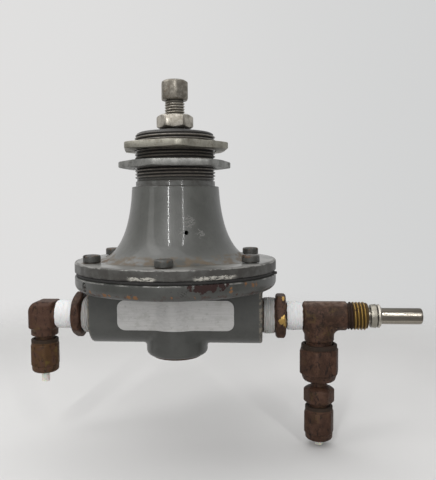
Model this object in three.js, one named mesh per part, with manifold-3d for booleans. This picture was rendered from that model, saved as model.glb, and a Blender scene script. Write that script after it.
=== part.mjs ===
// Air pressure regulator: a spring-loaded diaphragm regulator with a threaded panel neck, two
// opposed pipe ports, a compression elbow on the left port and a compression run tee on the right.
//
// Millimetres, +Z up the adjusting screw, +X towards the right port, -Y towards the label.
// The origin is the centre of the bottom plug's outer face.

import * as THREE from 'three';
import { mergeVertices } from 'three/addons/utils/BufferGeometryUtils.js';
import Module from 'manifold-3d';

const wasm = await Module();
wasm.setup();

// ---------------------------------------------------------------------------------------------
// Driving dimensions
// ---------------------------------------------------------------------------------------------

const FIT = 0.3;                    // clearance between neighbouring pieces
const SIDES = 32;                   // facets round a large turned piece
const FLANGE_SIDES = 36;            // facets round the flanges and the diaphragm
const SMALL_SIDES = 16;             // facets round a small turned piece
const PLATE_SIDES = 24;             // facets round a plate inside the housing
const HIDDEN_SIDES = 12;            // facets round a bore or a small piece that stays inside

// Heights up the regulator's own axis
const BOSS_BOTTOM_Z = 0.8;
const PORT_Z = 16.4;
const DIAPHRAGM_Z = 34.5;
const SHOULDER_Z = 68.0;
const NECK_TOP_Z = 89.1;
const NECK_BOSS_TOP_Z = 90.6;

// Diaphragm joint
const FLANGE_R = 39.9;
const FLANGE_SPLIT = 0.65;          // each flange face stands this far from the diaphragm's middle
const BODY_FLANGE_H = 5.75;
const BODY_FLANGE_EDGE = [[35.4, 0.3], [38.4, 1.2], [39.5, 2.1], [39.9, 3.2]];  // radius, height
const BONNET_FLANGE_H = 4.15;
const BONNET_FLANGE_EDGE = 1;
const DIAPHRAGM_R = 40.3;
const DIAPHRAGM_T = 0.7;
const CHAMBER_R = 29;
const CHAMBER_FLOOR_Z = DIAPHRAGM_Z - 4.4;
const SCREW_CIRCLE_R = 34.4;
const SCREW_CIRCLE_TURN = 1;        // degrees the first screw stands from -Y towards +X
const SCREW_COUNT = 6;
const SCREW_SHANK_R = 2.05;
const SCREW_HEAD_R = 3.35;
const SCREW_HEAD_H = 2.8;
const SCREW_TIP_Z = DIAPHRAGM_Z - 4.4;
const SCREW_SLOT = { width: 0.9, depth: 1.1 };
const SCREW_SLOT_TURNS = [4, 35, -30, 80, 20, 50];  // degrees, as each screw happened to stop
const PASSAGE_PLUG = { angle: -48.6, height: DIAPHRAGM_Z - 3.15, radius: 1.3, depth: 3.3 };

// Body casting
const BOSS_R = 12.35;
const BOSS_EDGE = 1.5;
const PORT_BOSS_R = 11.1;
const BOSS_TOP_Z = DIAPHRAGM_Z - 5; // both bosses end inside the flange
const PORT_FACE = { left: 34.0, right: 34.5 };
const PORT_BORE_R = 7.16;
const PORT_BORE_START = 22;
const PORT_PASSAGE_R = 4.3;
const PORT_PASSAGE_START = { left: 5, right: 13 };
const GALLERY = { radius: 2.2, x: 17 };
const VALVE_GALLERY_R = 4;
const LABEL = { centreX: 0.9, width: 45.4, top: 24.1, bottom: 12.2, corner: 3, thickness: 0.3 };

// Bonnet casting: the bell is one cubic curve from its foot on the flange to its shoulder
const BELL_FOOT_R = 29.9;
const BELL_SHOULDER_R = 17.3;
const BELL_STEPS = 7;
const BELL_WALL = 3.0;
const BONNET_CEILING_DROP = 1.6;    // the bell's inside follows its outside this much lower
const VENT_R = 0.85;
const VENT_Z = 50.6;
const VENT_ANGLE = 19;              // degrees from -Y towards +X

// Panel neck, 1 1/4 in - 20, with a plain land above its shoulder
const NECK_CREST_R = 15.875;
const NECK_ROOT_R = 15.1;
const NECK_LAND_R = 15.75;
const NECK_PITCH = 1.27;
const NECK_BORE_R = 12.8;
const NECK_CEILING_Z = 82.0;
const NECK_LAND_H = 2.3;
const NECK_BOSS_R = 6.3;
const PANEL_NUT_FLATS = 39.7;
const PANEL_NUT_H = 2.8;
const PANEL_NUT_LOWER_Z = 75.25;
const PANEL_NUT_UPPER_Z = 82.2;
const PANEL_NUT_LOWER_TURN = 45;    // degrees
const PANEL_NUT_UPPER_TURN = 11.5;

// Adjusting screw, 5/16 in - 24, and its jam nut
const SCREW_CREST_R = 3.97;
const SCREW_ROOT_R = 3.4;
const SCREW_PITCH = 1.0583;
const SCREW_BOTTOM_Z = 79.5;
const SCREW_HEAD_Z = 102.1;
const SCREW_TOP_Z = 109.8;
const SCREW_HEAD_FLATS = 10.2;
const JAM_NUT_FLATS = 13.0;
const JAM_NUT_Z = 91.0;
const JAM_NUT_H = 5.3;
const JAM_NUT_TURN = 36;
const SCREW_HEAD_TURN = 14;

// Spring pack
const RANGE_SPRING = { radius: 9.7, wire: 1.3, turns: 7, stepsPerTurn: 10 };
const VALVE_SPRING = { radius: 3.9, wire: 0.4, turns: 4, stepsPerTurn: 8 };
const BUTTON_R = 11.6;
const BUTTON_TOP_Z = SCREW_BOTTOM_Z - FIT;
const BUTTON_H = 4.0;
const BUTTON_SHEET = 1.3;           // the spring button is a dished pressing
const PLATE_R = 24;
const PLATE_T = 1.5;
const PLATE_RIM_H = 2.2;
const RELIEF_SEAT = { radius: 14, thickness: 1.2, bore: 0.9, stemTop: 4.8 };
const HUB_NUT = { flats: 10, height: 3.2 };
const PLATE_BOTTOM_Z = DIAPHRAGM_Z + FLANGE_SPLIT;
const PLATE_TOP_Z = PLATE_BOTTOM_Z + PLATE_T;
const HUB_R = 3.0;
const HUB_BORE_R = HUB_R + FIT;

// Valve
const SEAT_BORE_R = 6.0;
const SEAT_BOTTOM_Z = 21.3;
const SEAT_TOP_Z = 26.3;
const ORIFICE_R = 2.4;
const VALVE_CHAMBER_R = 7.5;
const STEM_R = 1.2;
const TAIL_R = 2.4;
const TAIL_Z = 5;
const PLUNGER_HEAD = { radius: 5.2, height: 6.5, face: 3.8 };
const POST_R = 5.5;
const POST_TOP_Z = 7.5;
const GUIDE_FLOOR_Z = 3.5;
const PLUG_R = 9.9;
const PLUG_RECESS_R = PLUG_R + FIT;
const PLUG_RECESS_TOP_Z = 6.5;
const PLUG_TOP_Z = 4.3;
const SPANNER_HOLE = { radius: 1.4, depth: 2.2, x: 6 };
const PLUG_SEAL = { radius: 8.9, section: 0.8 };

// Pipe bushings, 1/4 in to 1/8 in pipe thread
const BUSHING_THREAD_R = PORT_BORE_R - FIT;
const BUSHING_FLATS = 16.7;
const BUSHING_BORE_R = 5.45;
const PIPE_THREAD_R = 5.15;
const TAPE_T = 0.3;
const BUSHING = { threadStart: 24, passage: 4, socketDepth: 9 };
const LEFT_BUSHING_HEX = [38.2, 41.8];
const RIGHT_BUSHING_HEX = [39.7, 43.7];

// Compression fittings: distances along the port axis from the regulator's axis
const ELBOW = { axis: 55.3, pipeStart: 34, halfWidth: 5.6, drop: 5.6, edge: 3.0, bevel: 3.0 };
const ELBOW_SOCKET = { collar: 5.45, collarEnd: 8.6, threadEnd: 17.2, waterway: 2.2 };
const TEE = { axis: 57.1, pipeStart: 36, start: 50.7, barrelEnd: 67.7, threadEnd: 76.6, radius: 5.75 };
const TEE_BRANCH = { radius: 5.85, collarEnd: 10, threadEnd: 19 };
const TEE_WATERWAY = { radius: 2.4, socketDepth: 7 };
const SMALL_THREAD_R = 3.97;        // 5/16 in - 20, for 1/8 in tube
const LARGE_THREAD_R = 5.56;        // 7/16 in - 20, for 1/4 in tube
const LARGE_PITCH = 1.27;
const THREAD_DEPTH = 0.55;
const SMALL_TUBE_R = 1.6;
const LARGE_TUBE_R = 3.175;
const TUBE_WALL = 0.7;
const RUN_PLUG = { start: 70.4, end: 97.0 };
const NUT_FLOOR = 1.8;              // thickness of a tube nut's lower wall
const FRONT_FERRULE_H = 2.4;
const BACK_FERRULE_H = 1.4;
const SMALL_FERRULE_R = 3.4;
const LARGE_FERRULE_R = 5.0;
const RUN_FRONT_FERRULE_END = 76.9;
const RUN_BACK_FERRULE = { end: 79.6, radius: 4.7 };
const SMALL_NUT = {
  flats: 11.1, length: 13.8, collar: 5.5, hexTop: -2.0, hexBottom: -11.0,
  thread: SMALL_THREAD_R, tube: SMALL_TUBE_R, taper: 4.3,
};
const LARGE_NUT = {
  flats: 14.7, length: 15.3, collar: 7.1, hexTop: -1.9, hexBottom: -12.0,
  thread: LARGE_THREAD_R, tube: LARGE_TUBE_R, taper: 3.9,
};

// Heights of the hanging fittings
const LEFT_NUT_TOP_Z = 6.3;
const BRANCH_NUT_TOP_Z = 5.2;
const REDUCER_HEX_TOP_Z = -12.2;
const REDUCER_HEX_BOTTOM_Z = -18.4;
const REDUCER = { flats: 11.1, turn: 25, stubTop: 1.8, threadLength: 7.5 };
const LOWER_NUT_TOP_Z = -19.8;
const LEFT_NUT_TURN = 16;
const BRANCH_NUT_TURN = -12;
const LOWER_NUT_TURN = -17;
const LEFT_TUBE_LENGTH = 4.2;       // tube left showing below each small nut
const LOWER_TUBE_LENGTH = 2.3;

// ---------------------------------------------------------------------------------------------
// Solids: closed geometry in, joined and cut by manifold-3d, closed geometry out
// ---------------------------------------------------------------------------------------------

const radians = THREE.MathUtils.degToRad;

// Merge shared corners and drop the zero-area faces that a lathe leaves on its axis.
function weld(geometry) {
  const plain = geometry.clone();
  plain.deleteAttribute('normal');
  plain.deleteAttribute('uv');
  const merged = mergeVertices(plain, 1e-4);
  const source = merged.index.array;
  const kept = [];
  for (let i = 0; i < source.length; i += 3) {
    const [a, b, c] = [source[i], source[i + 1], source[i + 2]];
    if (a !== b && b !== c && c !== a) kept.push(a, b, c);
  }
  merged.setIndex(kept);
  return merged;
}

function toSolid(geometry) {
  const welded = weld(geometry);
  return new wasm.Manifold(new wasm.Mesh({
    numProp: 3,
    vertProperties: Float32Array.from(welded.attributes.position.array),
    triVerts: Uint32Array.from(welded.index.array),
  }));
}

function toGeometry(solid) {
  const mesh = solid.getMesh();
  const geometry = new THREE.BufferGeometry();
  geometry.setAttribute('position', new THREE.BufferAttribute(mesh.vertProperties, 3));
  geometry.setIndex(new THREE.BufferAttribute(mesh.triVerts, 1));
  geometry.computeVertexNormals();
  return geometry;
}

function join(...geometries) {
  return toGeometry(geometries.map(toSolid).reduce((whole, solid) => whole.add(solid)));
}

function cut(geometry, ...tools) {
  return toGeometry(tools.map(toSolid).reduce((rest, tool) => rest.subtract(tool), toSolid(geometry)));
}

function common(first, second) {
  return toGeometry(toSolid(first).intersect(toSolid(second)));
}

// ---------------------------------------------------------------------------------------------
// Basic shapes, all about +Z
// ---------------------------------------------------------------------------------------------

// Turned piece from [radius, height] points, listed outwards along the bottom and back over the top.
// A profile that leaves the axis clear is closed on itself, so the piece is a ring.
function turned(profile, sides = SMALL_SIDES) {
  const points = profile.map(([radius, height]) => new THREE.Vector2(radius, height));
  const onAxis = points[0].x === 0 && points[points.length - 1].x === 0;
  if (!onAxis) points.push(points[0].clone());
  return weld(new THREE.LatheGeometry(points, sides).rotateX(Math.PI / 2));
}

function rod(radius, bottom, top, sides = SMALL_SIDES) {
  return turned([[0, bottom], [radius, bottom], [radius, top], [0, top]], sides);
}

function ring(inner, outer, bottom, top, sides = SMALL_SIDES) {
  return turned([[inner, bottom], [outer, bottom], [outer, top], [inner, top]], sides);
}

// Outline of a screw thread as plain ridges, from bottom to top, one [radius, height] pair per edge.
function threadRidges(root, crest, pitch, bottom, top) {
  const points = [];
  const count = Math.floor((top - bottom) / pitch);
  for (let i = 0; i < count; i++) {
    points.push([root, bottom + i * pitch], [crest, bottom + (i + 0.5) * pitch]);
  }
  points.push([root, bottom + count * pitch]);
  return points;
}

function extruded(shape, depth) {
  return weld(new THREE.ExtrudeGeometry(shape, { depth, bevelEnabled: false, curveSegments: 8 }));
}

// Hexagonal prism with a corner turned `corner` degrees from -Y towards +X.
function hexPrism(flats, bottom, top, corner = 0) {
  const radius = flats / Math.sqrt(3);
  const shape = new THREE.Shape();
  for (let i = 0; i < 6; i++) {
    const angle = radians(corner - 90 + i * 60);
    const point = [radius * Math.cos(angle), radius * Math.sin(angle)];
    if (i === 0) shape.moveTo(...point);
    else shape.lineTo(...point);
  }
  return extruded(shape, top - bottom).translate(0, 0, bottom);
}

// Hexagon whose corners are turned down to `face` radius at either end, as on a bar-turned nut.
function chamferedHex(flats, bottom, top, { corner = 0, chamfer = 0.6, slope = 0.58 } = {}) {
  const outer = flats / Math.sqrt(3) + 0.2;
  const face = flats / 2 - chamfer;
  const drop = (outer - face) * slope;
  const envelope = turned([
    [0, bottom], [face, bottom], [outer, bottom + drop],
    [outer, top - drop], [face, top], [0, top],
  ]);
  return common(hexPrism(flats, bottom, top, corner), envelope);
}

function coil({ radius, wire, turns, stepsPerTurn }, bottom, top) {
  class Helix extends THREE.Curve {
    getPoint(t, target = new THREE.Vector3()) {
      const angle = 2 * Math.PI * turns * t;
      const height = THREE.MathUtils.lerp(bottom + wire, top - wire, t);
      return target.set(radius * Math.cos(angle), radius * Math.sin(angle), height);
    }
  }
  const section = new THREE.Shape();
  const sectionSides = 6;
  for (let i = 0; i <= sectionSides; i++) {
    const angle = (2 * Math.PI * i) / sectionSides;
    const point = [wire * Math.cos(angle), wire * Math.sin(angle)];
    if (i === 0) section.moveTo(...point);
    else section.lineTo(...point);
  }
  const options = { steps: turns * stepsPerTurn, extrudePath: new Helix(), curveSegments: 1 };
  return weld(new THREE.ExtrudeGeometry(section, options));
}

// Turn a piece made about +Z so that it lies along +X (side 1) or -X (side -1).
function alongPort(geometry, side) {
  return geometry.clone().rotateY(side * Math.PI / 2);
}

function alongRadius(geometry, degreesFromFront) {
  return geometry.clone().rotateX(Math.PI / 2).rotateZ(radians(degreesFromFront));
}

// ---------------------------------------------------------------------------------------------
// Casting: body
// ---------------------------------------------------------------------------------------------

// Port boss: vertical sides up to the flange, half round below, grown by `skin` all round.
function portBoss(skin, from, to) {
  const radius = PORT_BOSS_R + skin;
  const shape = new THREE.Shape();
  shape.moveTo(radius, BOSS_TOP_Z);
  shape.lineTo(-radius, BOSS_TOP_Z);
  shape.lineTo(-radius, PORT_Z);
  shape.absarc(0, PORT_Z, radius, Math.PI, 2 * Math.PI, false);
  const toPortAxis = new THREE.Matrix4().makeBasis(
    new THREE.Vector3(0, 1, 0), new THREE.Vector3(0, 0, 1), new THREE.Vector3(1, 0, 0));
  const depth = to - from;
  const options = { depth, bevelEnabled: false, curveSegments: 14 };
  const geometry = weld(new THREE.ExtrudeGeometry(shape, options));
  return geometry.applyMatrix4(toPortAxis).translate(from, 0, 0);
}

function valveBoss(skin) {
  const radius = BOSS_R + skin;
  return turned([
    [0, BOSS_BOTTOM_Z], [radius - BOSS_EDGE, BOSS_BOTTOM_Z],
    [radius - 0.3 * BOSS_EDGE, BOSS_BOTTOM_Z + 0.3 * BOSS_EDGE],
    [radius, BOSS_BOTTOM_Z + BOSS_EDGE], [radius, BOSS_TOP_Z], [0, BOSS_TOP_Z],
  ], SIDES);
}

function screwHoles(bottom, top) {
  const holes = [];
  for (let i = 0; i < SCREW_COUNT; i++) {
    const angle = radians(SCREW_CIRCLE_TURN - 90 + (i * 360) / SCREW_COUNT);
    const hole = rod(SCREW_SHANK_R + FIT, bottom, top, HIDDEN_SIDES);
    holes.push(hole.translate(SCREW_CIRCLE_R * Math.cos(angle), SCREW_CIRCLE_R * Math.sin(angle), 0));
  }
  return holes;
}

function makePort(side) {
  const bore = turned([
    [0, PORT_PASSAGE_START[side]], [PORT_PASSAGE_R, PORT_PASSAGE_START[side]],
    [PORT_PASSAGE_R, PORT_BORE_START], [PORT_BORE_R, PORT_BORE_START],
    [PORT_BORE_R, PORT_FACE[side] + 1], [0, PORT_FACE[side] + 1],
  ]);
  return alongPort(bore, side === 'left' ? -1 : 1).translate(0, 0, PORT_Z);
}

function makeBody() {
  const flangeTop = DIAPHRAGM_Z - FLANGE_SPLIT;
  const flangeBottom = flangeTop - BODY_FLANGE_H;
  const flange = turned([
    [0, flangeBottom], ...BODY_FLANGE_EDGE.map(([radius, height]) => [radius, flangeBottom + height]),
    [FLANGE_R, flangeTop], [0, flangeTop],
  ], FLANGE_SIDES);
  const casting = join(flange, valveBoss(0), portBoss(0, -PORT_FACE.left, PORT_FACE.right));

  // One bore down the axis: plug recess, valve chamber, seat, gallery and diaphragm chamber
  const axisBore = turned([
    [0, -1], [PLUG_RECESS_R, -1], [PLUG_RECESS_R, PLUG_RECESS_TOP_Z],
    [VALVE_CHAMBER_R, PLUG_RECESS_TOP_Z], [VALVE_CHAMBER_R, SEAT_BOTTOM_Z - FIT],
    [SEAT_BORE_R, SEAT_BOTTOM_Z - FIT], [SEAT_BORE_R, SEAT_TOP_Z + FIT],
    [VALVE_GALLERY_R, SEAT_TOP_Z + FIT], [VALVE_GALLERY_R, CHAMBER_FLOOR_Z],
    [CHAMBER_R, CHAMBER_FLOOR_Z], [CHAMBER_R, DIAPHRAGM_Z], [0, DIAPHRAGM_Z],
  ], SIDES);
  const riser = rod(GALLERY.radius, PORT_Z, CHAMBER_FLOOR_Z + 1, HIDDEN_SIDES).translate(GALLERY.x, 0, 0);
  const plugBore = alongRadius(
    rod(PASSAGE_PLUG.radius + FIT, FLANGE_R - PASSAGE_PLUG.depth - FIT, FLANGE_R + 1, HIDDEN_SIDES),
    PASSAGE_PLUG.angle).translate(0, 0, PASSAGE_PLUG.height);
  return cut(casting, axisBore, makePort('left'), makePort('right'), riser, plugBore,
    ...screwHoles(SCREW_TIP_Z - FIT, DIAPHRAGM_Z));
}

function makePassagePlug() {
  const plug = rod(PASSAGE_PLUG.radius, FLANGE_R - PASSAGE_PLUG.depth, FLANGE_R, HIDDEN_SIDES);
  return alongRadius(plug, PASSAGE_PLUG.angle).translate(0, 0, PASSAGE_PLUG.height);
}

// Thin plate that follows the front of the valve boss and of the port boss
function makeLabel() {
  const reach = LABEL.width;
  const wrap = (skin) => join(valveBoss(skin), portBoss(skin, -reach, reach));
  const sheet = cut(wrap(FIT + LABEL.thickness), wrap(FIT));
  const [halfWidth, corner] = [LABEL.width / 2, LABEL.corner];
  const shape = new THREE.Shape();
  shape.moveTo(-halfWidth + corner, LABEL.bottom);
  shape.absarc(halfWidth - corner, LABEL.bottom + corner, corner, -Math.PI / 2, 0, false);
  shape.absarc(halfWidth - corner, LABEL.top - corner, corner, 0, Math.PI / 2, false);
  shape.absarc(-halfWidth + corner, LABEL.top - corner, corner, Math.PI / 2, Math.PI, false);
  shape.absarc(-halfWidth + corner, LABEL.bottom + corner, corner, Math.PI, 1.5 * Math.PI, false);
  const front = extruded(shape, FLANGE_R).rotateX(Math.PI / 2).translate(LABEL.centreX, 0, 0);
  return common(sheet, front);
}

// ---------------------------------------------------------------------------------------------
// Casting: bonnet
// ---------------------------------------------------------------------------------------------

// The bell's outside, from the foot on the flange up to the shoulder
function bellOutline(foot) {
  return new THREE.CubicBezierCurve(
    new THREE.Vector2(BELL_FOOT_R, foot), new THREE.Vector2(22.1, foot + 2.5),
    new THREE.Vector2(18.0, foot + 13.4), new THREE.Vector2(BELL_SHOULDER_R, SHOULDER_Z),
  ).getPoints(BELL_STEPS).map((point) => [point.x, point.y]);
}

function makeBonnet() {
  const bottom = DIAPHRAGM_Z + FLANGE_SPLIT;
  const flangeTop = bottom + BONNET_FLANGE_H;
  const bell = bellOutline(flangeTop);
  const inside = bell
    .map(([radius, height]) => [radius - BELL_WALL, height - BONNET_CEILING_DROP]).reverse();
  const threadStart = SHOULDER_Z + NECK_LAND_H;
  const casting = turned([
    [CHAMBER_R, bottom], [FLANGE_R, bottom], [FLANGE_R, flangeTop - BONNET_FLANGE_EDGE],
    [FLANGE_R - 0.3 * BONNET_FLANGE_EDGE, flangeTop - 0.3 * BONNET_FLANGE_EDGE],
    [FLANGE_R - BONNET_FLANGE_EDGE, flangeTop],
    ...bell,
    [NECK_LAND_R, SHOULDER_Z], [NECK_LAND_R, threadStart],
    ...threadRidges(NECK_ROOT_R, NECK_CREST_R, NECK_PITCH, threadStart, NECK_TOP_Z),
    [NECK_ROOT_R - 0.2, NECK_TOP_Z],
    [NECK_BOSS_R, NECK_TOP_Z], [NECK_BOSS_R, NECK_BOSS_TOP_Z],
    [SCREW_CREST_R + FIT, NECK_BOSS_TOP_Z], [SCREW_CREST_R + FIT, NECK_CEILING_Z],
    [NECK_BORE_R, NECK_CEILING_Z], [NECK_BORE_R, SHOULDER_Z],
    ...inside,
    [CHAMBER_R, flangeTop - BONNET_FLANGE_H / 2],
  ], SIDES);
  const vent = alongRadius(rod(VENT_R, NECK_BORE_R, BELL_FOOT_R, HIDDEN_SIDES), VENT_ANGLE)
    .translate(0, 0, VENT_Z);
  return cut(casting, vent, ...screwHoles(bottom - 1, flangeTop + 1));
}

function makeFlangeScrew() {
  const seat = DIAPHRAGM_Z + FLANGE_SPLIT + BONNET_FLANGE_H + FIT;
  const top = seat + SCREW_HEAD_H;
  const blank = turned([
    [0, SCREW_TIP_Z], [SCREW_SHANK_R, SCREW_TIP_Z], [SCREW_SHANK_R, seat], [SCREW_HEAD_R, seat],
    [SCREW_HEAD_R, top - 0.33 * SCREW_HEAD_R], [0.85 * SCREW_HEAD_R, top - 0.12 * SCREW_HEAD_R],
    [0.58 * SCREW_HEAD_R, top], [0, top],
  ], HIDDEN_SIDES);
  const slot = new THREE.BoxGeometry(3 * SCREW_HEAD_R, SCREW_SLOT.width, 2 * SCREW_SLOT.depth)
    .translate(0, 0, top);
  return cut(blank, slot);
}

// ---------------------------------------------------------------------------------------------
// Neck: panel nuts, adjusting screw, jam nut
// ---------------------------------------------------------------------------------------------

function makePanelNut() {
  const blank = hexPrism(PANEL_NUT_FLATS, 0, PANEL_NUT_H);
  return cut(blank, rod(NECK_CREST_R + FIT, -1, PANEL_NUT_H + 1, SIDES));
}

function makeJamNut() {
  const blank = chamferedHex(JAM_NUT_FLATS, 0, JAM_NUT_H, { chamfer: 0.3 });
  return cut(blank, rod(SCREW_CREST_R + FIT, -1, JAM_NUT_H + 1));
}

function makeAdjustingScrew() {
  const head = chamferedHex(SCREW_HEAD_FLATS, SCREW_HEAD_Z, SCREW_TOP_Z,
    { corner: SCREW_HEAD_TURN, chamfer: 0.5 });
  const exposed = JAM_NUT_Z + JAM_NUT_H - SCREW_PITCH;
  const shank = turned([
    [0, SCREW_BOTTOM_Z], [SCREW_ROOT_R, SCREW_BOTTOM_Z], [SCREW_CREST_R, SCREW_BOTTOM_Z + 0.8],
    [SCREW_CREST_R, exposed],
    ...threadRidges(SCREW_ROOT_R, SCREW_CREST_R, SCREW_PITCH, exposed, SCREW_HEAD_Z),
    [SCREW_ROOT_R, SCREW_HEAD_Z + 1], [0, SCREW_HEAD_Z + 1],
  ], SMALL_SIDES);
  return join(head, shank);
}

// Dished pressing: flat top under the screw, cone, rim on the spring and a lip inside its first turn
function makeSpringButton() {
  const seat = BUTTON_TOP_Z - BUTTON_H;
  const lip = RANGE_SPRING.radius - RANGE_SPRING.wire - 0.8;
  const flat = SCREW_CREST_R + 0.6;
  return turned([
    [0, BUTTON_TOP_Z - BUTTON_SHEET], [flat - 0.4, BUTTON_TOP_Z - BUTTON_SHEET],
    [lip - 1, seat + 0.6], [lip - 1, seat - 1.2], [lip, seat - 1.2], [lip, seat],
    [BUTTON_R, seat], [BUTTON_R, seat + BUTTON_SHEET], [lip, seat + BUTTON_SHEET],
    [flat, BUTTON_TOP_Z], [0, BUTTON_TOP_Z],
  ], PLATE_SIDES);
}

// ---------------------------------------------------------------------------------------------
// Diaphragm pack and valve
// ---------------------------------------------------------------------------------------------

function makeDiaphragm() {
  const [bottom, top] = [DIAPHRAGM_Z - DIAPHRAGM_T / 2, DIAPHRAGM_Z + DIAPHRAGM_T / 2];
  return cut(ring(HUB_BORE_R, DIAPHRAGM_R, bottom, top, FLANGE_SIDES), ...screwHoles(bottom - 1, top + 1));
}

function makePressurePlate() {
  const rim = RANGE_SPRING.radius + RANGE_SPRING.wire + 0.6;
  return turned([
    [HUB_BORE_R, PLATE_BOTTOM_Z], [PLATE_R, PLATE_BOTTOM_Z], [PLATE_R, PLATE_TOP_Z - 0.5],
    [PLATE_R - 0.5, PLATE_TOP_Z], [rim + PLATE_T, PLATE_TOP_Z], [rim + PLATE_T, PLATE_TOP_Z + PLATE_RIM_H],
    [rim, PLATE_TOP_Z + PLATE_RIM_H], [rim, PLATE_TOP_Z], [HUB_BORE_R, PLATE_TOP_Z],
  ], PLATE_SIDES);
}

function makeReliefSeat() {
  const { radius, thickness, bore, stemTop } = RELIEF_SEAT;
  const top = DIAPHRAGM_Z - FLANGE_SPLIT;
  return turned([
    [bore, top - thickness], [radius - 0.4, top - thickness], [radius, top - thickness + 0.4],
    [radius, top], [HUB_R, top], [HUB_R, PLATE_TOP_Z + stemTop], [bore, PLATE_TOP_Z + stemTop],
  ], SMALL_SIDES);
}

function makeHubNut() {
  const bottom = PLATE_TOP_Z + FIT;
  const blank = chamferedHex(HUB_NUT.flats, bottom, bottom + HUB_NUT.height, { chamfer: 0.4 });
  return cut(blank, rod(HUB_BORE_R, bottom - 1, bottom + HUB_NUT.height + 1));
}

function makeValveSeat() {
  return turned([
    [ORIFICE_R, SEAT_BOTTOM_Z], [3.2, SEAT_BOTTOM_Z], [3.7, SEAT_BOTTOM_Z + 0.6],
    [SEAT_BORE_R - FIT, SEAT_BOTTOM_Z + 0.6], [SEAT_BORE_R - FIT, SEAT_TOP_Z], [ORIFICE_R, SEAT_TOP_Z],
  ], SMALL_SIDES);
}

function makeValvePlunger() {
  const { radius, height, face } = PLUNGER_HEAD;
  const head = SEAT_BOTTOM_Z - FIT;
  const tip = DIAPHRAGM_Z - FLANGE_SPLIT - RELIEF_SEAT.thickness - FIT;
  return turned([
    [0, TAIL_Z], [TAIL_R, TAIL_Z], [TAIL_R, head - height], [radius, head - height],
    [radius, head - 1], [face, head], [STEM_R, head], [STEM_R, tip], [0, tip],
  ], HIDDEN_SIDES);
}

function makeBottomPlug() {
  const plug = turned([
    [0, 0], [PLUG_R - 0.5, 0], [PLUG_R, 0.5], [PLUG_R, PLUG_TOP_Z], [POST_R, PLUG_TOP_Z],
    [POST_R, POST_TOP_Z], [TAIL_R + FIT, POST_TOP_Z], [TAIL_R + FIT, GUIDE_FLOOR_Z], [0, GUIDE_FLOOR_Z],
  ], PLATE_SIDES);
  const hole = rod(SPANNER_HOLE.radius, -1, SPANNER_HOLE.depth, HIDDEN_SIDES);
  return cut(plug, ...[-1, 1].map((side) => hole.clone().translate(side * SPANNER_HOLE.x, 0, 0)));
}

function makePlugSeal() {
  const centre = (PLUG_TOP_Z + PLUG_RECESS_TOP_Z) / 2;
  const seal = new THREE.TorusGeometry(PLUG_SEAL.radius, PLUG_SEAL.section, 6, PLATE_SIDES);
  return weld(seal.translate(0, 0, centre));
}

// ---------------------------------------------------------------------------------------------
// Port fittings
// ---------------------------------------------------------------------------------------------

// Reducing bushing about +Z, from its threaded end to the outer face of its hexagon
function makeBushing([hexStart, hexEnd], corner) {
  const { threadStart, passage, socketDepth } = BUSHING;
  const hexagon = chamferedHex(BUSHING_FLATS, hexStart, hexEnd, { corner, chamfer: 0.4 });
  const blank = join(hexagon, rod(BUSHING_THREAD_R, threadStart, hexStart + 1));
  return cut(blank, turned([
    [0, threadStart - 1], [passage, threadStart - 1], [passage, hexEnd - socketDepth],
    [BUSHING_BORE_R, hexEnd - socketDepth], [BUSHING_BORE_R, hexEnd + 1], [0, hexEnd + 1],
  ]));
}

function makeTapeWrap(innerRadius, start, end) {
  return ring(innerRadius, innerRadius + TAPE_T, start, end);
}

// Nut for a tube fitting, hanging from z = 0: turned collar, hexagon, rounded lower end
function makeTubeNut({ flats, corner, length, collar, hexTop, hexBottom, thread, tube, taper }) {
  const outer = flats / Math.sqrt(3);
  const hexagon = chamferedHex(flats, hexBottom, hexTop, { corner, chamfer: 0.3, slope: 0.8 });
  const lathe = turned([
    [0, -length], [taper, -length], [collar, -length + (outer - taper) * 0.55],
    [collar, -0.7], [collar - 0.5, 0], [0, 0],
  ]);
  const bore = turned([
    [0, -length - 1], [tube + FIT, -length - 1], [tube + FIT, -length + NUT_FLOOR],
    [thread + FIT, -length + NUT_FLOOR], [thread + FIT, 1], [0, 1],
  ], HIDDEN_SIDES);
  return cut(join(hexagon, lathe), bore);
}

// Front and back ferrules round a tube, hanging from z = 0
function makeFrontFerrule(tube, outer) {
  return turned([
    [tube + FIT, -FRONT_FERRULE_H], [outer, -FRONT_FERRULE_H], [outer, 1 - FRONT_FERRULE_H],
    [tube + 0.8, 0], [tube + FIT, 0],
  ], HIDDEN_SIDES);
}

function makeBackFerrule(tube, outer) {
  return turned([
    [tube + FIT, -BACK_FERRULE_H], [outer, -BACK_FERRULE_H], [outer, -0.4], [outer - 0.4, 0],
    [tube + FIT, 0],
  ], HIDDEN_SIDES);
}

function makeTube(radius, bottom, top) {
  return ring(radius - TUBE_WALL, radius, bottom, top, HIDDEN_SIDES);
}

// Rounded square, `edge` its corner radius, centred on the origin
function roundedSquare(halfWidth, edge) {
  const shape = new THREE.Shape();
  const inner = halfWidth - edge;
  shape.moveTo(-inner, -halfWidth);
  shape.absarc(inner, -inner, edge, -Math.PI / 2, 0, false);
  shape.absarc(inner, inner, edge, 0, Math.PI / 2, false);
  shape.absarc(-inner, inner, edge, Math.PI / 2, Math.PI, false);
  shape.absarc(-inner, -inner, edge, Math.PI, 1.5 * Math.PI, false);
  return shape;
}

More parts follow.
